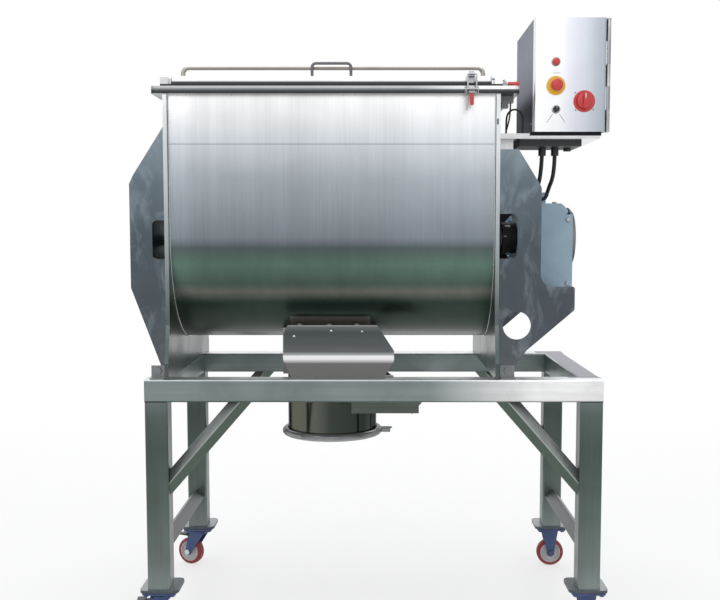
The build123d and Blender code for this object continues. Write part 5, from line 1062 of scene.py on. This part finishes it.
shellBead("weldLeft", -623.2)
shellBead("weldRight", 368.2)
# A black block stands in for a slot in the end plate's front edge: painted shade of the slot's inside
plateSlot = roundedBlock(atMm(371.5, -345.6, 1583), atMm(376.5, -344.0, 1601), 0.0007, 10, 20)
addPiece("plateSlot", plateSlot, "black", "machine")
print("fittings ready")


# Discharge spout and its clamp ring

spoutSizes = {
    "x": -143.5, "radius": 150, "wall": 3, "bottom": 580, "top": 800, "ferrule": 163, "ferruleThick": 7,
    "clampLow": 575, "clampHigh": 599, "clampRadius": 170, "lugs": ((-14, -3), (3, 14)), "nutX": 20, "nutZ": 587,
}


def makeSpout():
    sizes = spoutSizes
    centre = atMm(sizes["x"], 0, 0)
    top, bottom, outer, ferrule = sizes["top"], sizes["bottom"], sizes["radius"], sizes["ferrule"]
    inner, lip = outer - sizes["wall"], bottom + sizes["ferruleThick"]
    profile = [
        (top, inner), (top, outer), (700, outer), (604, outer), (600, outer), (lip + 1.5, outer + 0.2),
        (lip, outer + 2), (lip, ferrule - 1), (lip - 1, ferrule), (bottom + 1, ferrule),
        (bottom, ferrule - 1), (bottom, inner), (top, inner),
    ]
    profile = [(a / 1000 + drawingShift[2], r / 1000) for a, r in profile]
    surface = latheSurface(profile, (centre[0], centre[1], 0), (0, 0, 1), 128)
    addPiece("spoutTube", surface, "spout", "machine", ("discharge_spout",))


makeSpout()


def makeClamp():
    # Turned ring: an outer face crowned like an arch, a lip above and below, and a bore clear of the ferrule
    sizes = spoutSizes
    centre = atMm(sizes["x"], 0, 0)
    low, high, radius = sizes["clampLow"], sizes["clampHigh"], sizes["clampRadius"]
    t = np.linspace(-1, 1, 13)
    middle, half = (low + high) / 2, (high - low) / 2
    outer = list(zip(middle + t * (half - 0.6), radius - 7.5 * np.abs(t) ** 2.6))
    profile = [(low, 152.2), (low, radius - 9)] + outer + [(high, radius - 9), (high, 152.2), (588.5, 152.2)]
    profile += [(588.2, 164.2), (578.8, 164.2), (578.5, 152.2), (low, 152.2)]
    profile = [(a / 1000 + drawingShift[2], r / 1000) for a, r in profile]
    ring = latheSurface(profile, (centre[0], centre[1], 0), (0, 0, 1), 128)
    lugX = sizes["x"] + radius
    parts = [ring]
    for lugLow, lugHigh in sizes["lugs"]:
        parts.append(roundedBlock(atMm(lugX - 4, lugLow, low + 4), atMm(lugX + 28, lugHigh, high - 4), 0.003))
    nutX, nutZ = lugX + sizes["nutX"], sizes["nutZ"]
    nutProfile = [(0, 0), (0, 0.007), (0.008, 0.0066), (0.010, 0.005), (0.010, 0)]
    parts.append(latheSurface(nutProfile, atMm(nutX, 14, nutZ), (0, 1, 0), 24))
    # Wings: a bar that swells and turns up at both ends
    u = np.linspace(-1, 1, 33)
    path = np.stack([
        nutX + 13 * u, np.full(u.size, 19.0), nutZ - 0.5 + 12 * np.clip(np.abs(u) - 0.45, 0, 1) ** 1.3
    ], axis=-1) / 1000 + drawingShift
    parts.append(tubeAlong(path, 0.0024 + 0.0012 * np.abs(u), 12, (0, 1, 0)))
    addPiece("clampRing", joinSurfaces(parts), "clamp", "machine", ("spout_clamp_ring",))


makeClamp()
print("discharge ready")


# Cables

cableRoutes = {
    "power": [
        (531, -200, 1510), (529, -200, 1448), (524, -158, 1398), (524, -78, 1380), (533.5, -20, 1370),
        (531, 90, 1372), (531, 183, 1372),
    ],
    "signal": [
        (571, -200, 1510), (571, -200, 1444), (558, -158, 1394), (567, -78, 1380), (569, -20, 1370),
        (571, 90, 1372), (571, 183, 1372),
    ],
    "switch": [(420, -276, 1655), (420, -276, 1625), (414, -273, 1590), (403, -276, 1554)],
    "loop": [
        (410, -255, 1554), (410, -254, 1589), (411.5, -253, 1622), (427, -251, 1638.5),
        (447, -249, 1638.5), (462, -247, 1622), (462.5, -246, 1588), (462, -245, 1554),
    ],
    "bevelSteps": 5, "steps": 10,
}


def addCable(name, route, diameter, node, material):
    # NURBS curve with the route's points as control points
    curve = bpy.data.curves.new(name, "CURVE")
    curve.dimensions = "3D"
    curve.bevel_depth = diameter / 2
    curve.bevel_resolution = cableRoutes["bevelSteps"]
    curve.resolution_u = cableRoutes["steps"]
    curve.use_fill_caps = True
    points = [atMm(*point) for point in cableRoutes[route]]
    spline = curve.splines.new("NURBS")
    spline.points.add(len(points) - 1)
    for item, point in zip(spline.points, points):
        item.co = (*[float(value) for value in point], 1)
    spline.order_u = 3
    spline.use_endpoint_u = True
    curve.materials.append(materials[material])
    piece = bpy.data.objects.new(name, curve)
    bpy.context.collection.objects.link(piece)
    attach(piece, "machine")
    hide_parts(node)
    return piece, tuple(float(value) for value in points[0])


# Route, replaced node, diameter, length and lay of each cable
cables = {
    "motorPowerCable": ("power", "motor_power_cable", 0.013, 0.467, "hanging"),
    "motorSignalCable": ("signal", "motor_signal_cable", 0.013, 0.467, "hanging"),
    "lidSwitchCable": ("switch", "lid_switch_cable", 0.005, 0.103, "hanging"),
    "boxLoopCable": ("loop", "box_loop_cable", 0.006, 0.190, "loose"),
}
for name, (route, node, diameter, length, lay) in cables.items():
    cable, start = addCable(name, route, diameter, node, "cable")
print("cables ready")


# Floor, lights and camera

studio = {
    "floorColour": (0.90, 0.90, 0.90), "floorGlow": 0.66, "worldStrength": 0.72, "lens": 51.5,
    "cameraAt": (12.5, -3487, 1260), "tiltDown": math.atan(84 / 1030), "shift": (-18 / 720, 16 / 720),
}


def whereSeen(tree):
    # 1 for the rays that look at the surroundings: camera, glossy and transmission
    rays = tree.nodes.new("ShaderNodeLightPath")
    seen = addMath(tree, "MAXIMUM", rays.outputs["Is Camera Ray"], rays.outputs["Is Transmission Ray"])
    return addMath(tree, "MAXIMUM", seen, rays.outputs["Is Glossy Ray"])


def makeBackdrop():
    # Sweep: flat floor that turns up into a wall behind, as one smooth sheet
    t = np.linspace(0, 1, 40)
    run = np.concatenate([np.linspace(-9, 3.2, 12), 3.2 + 2.2 * np.sin(t * np.pi / 2), np.full(8, 5.4)])
    rise = np.concatenate([np.zeros(12), 2.2 * (1 - np.cos(t * np.pi / 2)), np.linspace(2.4, 8, 8)])
    x = np.linspace(-9, 9, 12)
    grid = np.stack([
        np.repeat(x[:, None], run.size, 1), np.repeat(run[None], x.size, 0), np.repeat(rise[None] - 0.0005, x.size, 0)
    ], axis=-1)
    points, quads = meshFromGrid(grid)
    mesh = bpy.data.meshes.new("backdrop")
    mesh.from_pydata(points.tolist(), [], quads[:, ::-1].tolist())
    mesh.polygons.foreach_set("use_smooth", np.ones(len(mesh.polygons), bool))
    material, tree, shader, point = startMaterial("backdropPaper")
    shader.inputs["Base Color"].default_value = (*studio["floorColour"], 1)
    shader.inputs["Roughness"].default_value = 0.9
    shader.inputs["Specular IOR Level"].default_value = 0.1
    glow = tree.nodes.new("ShaderNodeEmission")
    glow.inputs["Color"].default_value = (1, 1, 1, 1)
    glow.inputs["Strength"].default_value = 1.0
    blend = tree.nodes.new("ShaderNodeMixShader")
    amount = tree.nodes.new("ShaderNodeMath")
    amount.operation = "MULTIPLY"
    tree.links.new(whereSeen(tree), amount.inputs[0])
    # The wall is plain white; on the floor part of the lit paper stays, so that the shadow is kept
    split = tree.nodes.new("ShaderNodeSeparateXYZ")
    tree.links.new(point, split.inputs[0])
    farOff = addRange(tree, split.outputs[1], 1.2, 3.4, studio["floorGlow"], 1.0)
    tree.links.new(farOff, amount.inputs[1])
    tree.links.new(amount.outputs[0], blend.inputs[0])
    tree.links.new(shader.outputs[0], blend.inputs[1])
    tree.links.new(glow.outputs[0], blend.inputs[2])
    tree.links.new(blend.outputs[0], tree.nodes["Material Output"].inputs["Surface"])
    mesh.materials.append(material)
    backdrop = bpy.data.objects.new("backdrop", mesh)
    bpy.context.collection.objects.link(backdrop)


makeBackdrop()


def makeWorld():
    world = bpy.data.worlds.new("studioWorld")
    bpy.context.scene.world = world
    world.use_nodes = True
    tree = world.node_tree
    light = tree.nodes["Background"]
    light.inputs["Color"].default_value = (0.97, 0.985, 1.0, 1)
    light.inputs["Strength"].default_value = studio["worldStrength"]
    white = tree.nodes.new("ShaderNodeBackground")
    white.inputs["Color"].default_value = (1, 1, 1, 1)
    white.inputs["Strength"].default_value = 1.0
    mix = tree.nodes.new("ShaderNodeMixShader")
    tree.links.new(whereSeen(tree), mix.inputs[0])
    tree.links.new(light.outputs[0], mix.inputs[1])
    tree.links.new(white.outputs[0], mix.inputs[2])
    tree.links.new(mix.outputs[0], tree.nodes["World Output"].inputs["Surface"])


makeWorld()


def addSoftbox(name, at, aim, size, power):
    lamp = bpy.data.lights.new(name, "AREA")
    lamp.shape = "RECTANGLE"
    lamp.size, lamp.size_y = size
    lamp.energy = power
    holder = bpy.data.objects.new(name, lamp)
    bpy.context.collection.objects.link(holder)
    direction = np.array(aim, float) - np.array(at, float)
    holder.location = at
    holder.rotation_euler = Vector(direction).to_track_quat("-Z", "Y").to_euler()


addSoftbox("softboxTop", (0, -0.4, 5.2), (0, 0, 1), (6.0, 5.0), 90)
addSoftbox("softboxFront", (-1.0, -7.5, 4.6), (0, 0, 1.0), (8.0, 4.0), 70)
addSoftbox("softboxBack", (0, 4.4, 4.2), (0, 0, 1.1), (5.0, 2.0), 50)


def makeCamera():
    lens = bpy.data.cameras.new("camera")
    lens.lens = studio["lens"]
    lens.sensor_width = 36
    lens.shift_x, lens.shift_y = studio["shift"]
    camera = bpy.data.objects.new("camera", lens)
    bpy.context.collection.objects.link(camera)
    camera.location = atMm(*studio["cameraAt"])
    camera.rotation_euler = (math.pi / 2 - studio["tiltDown"], 0, 0)
    bpy.context.scene.camera = camera


makeCamera()
bpy.context.scene.view_settings.view_transform = "Standard"
print("studio ready")
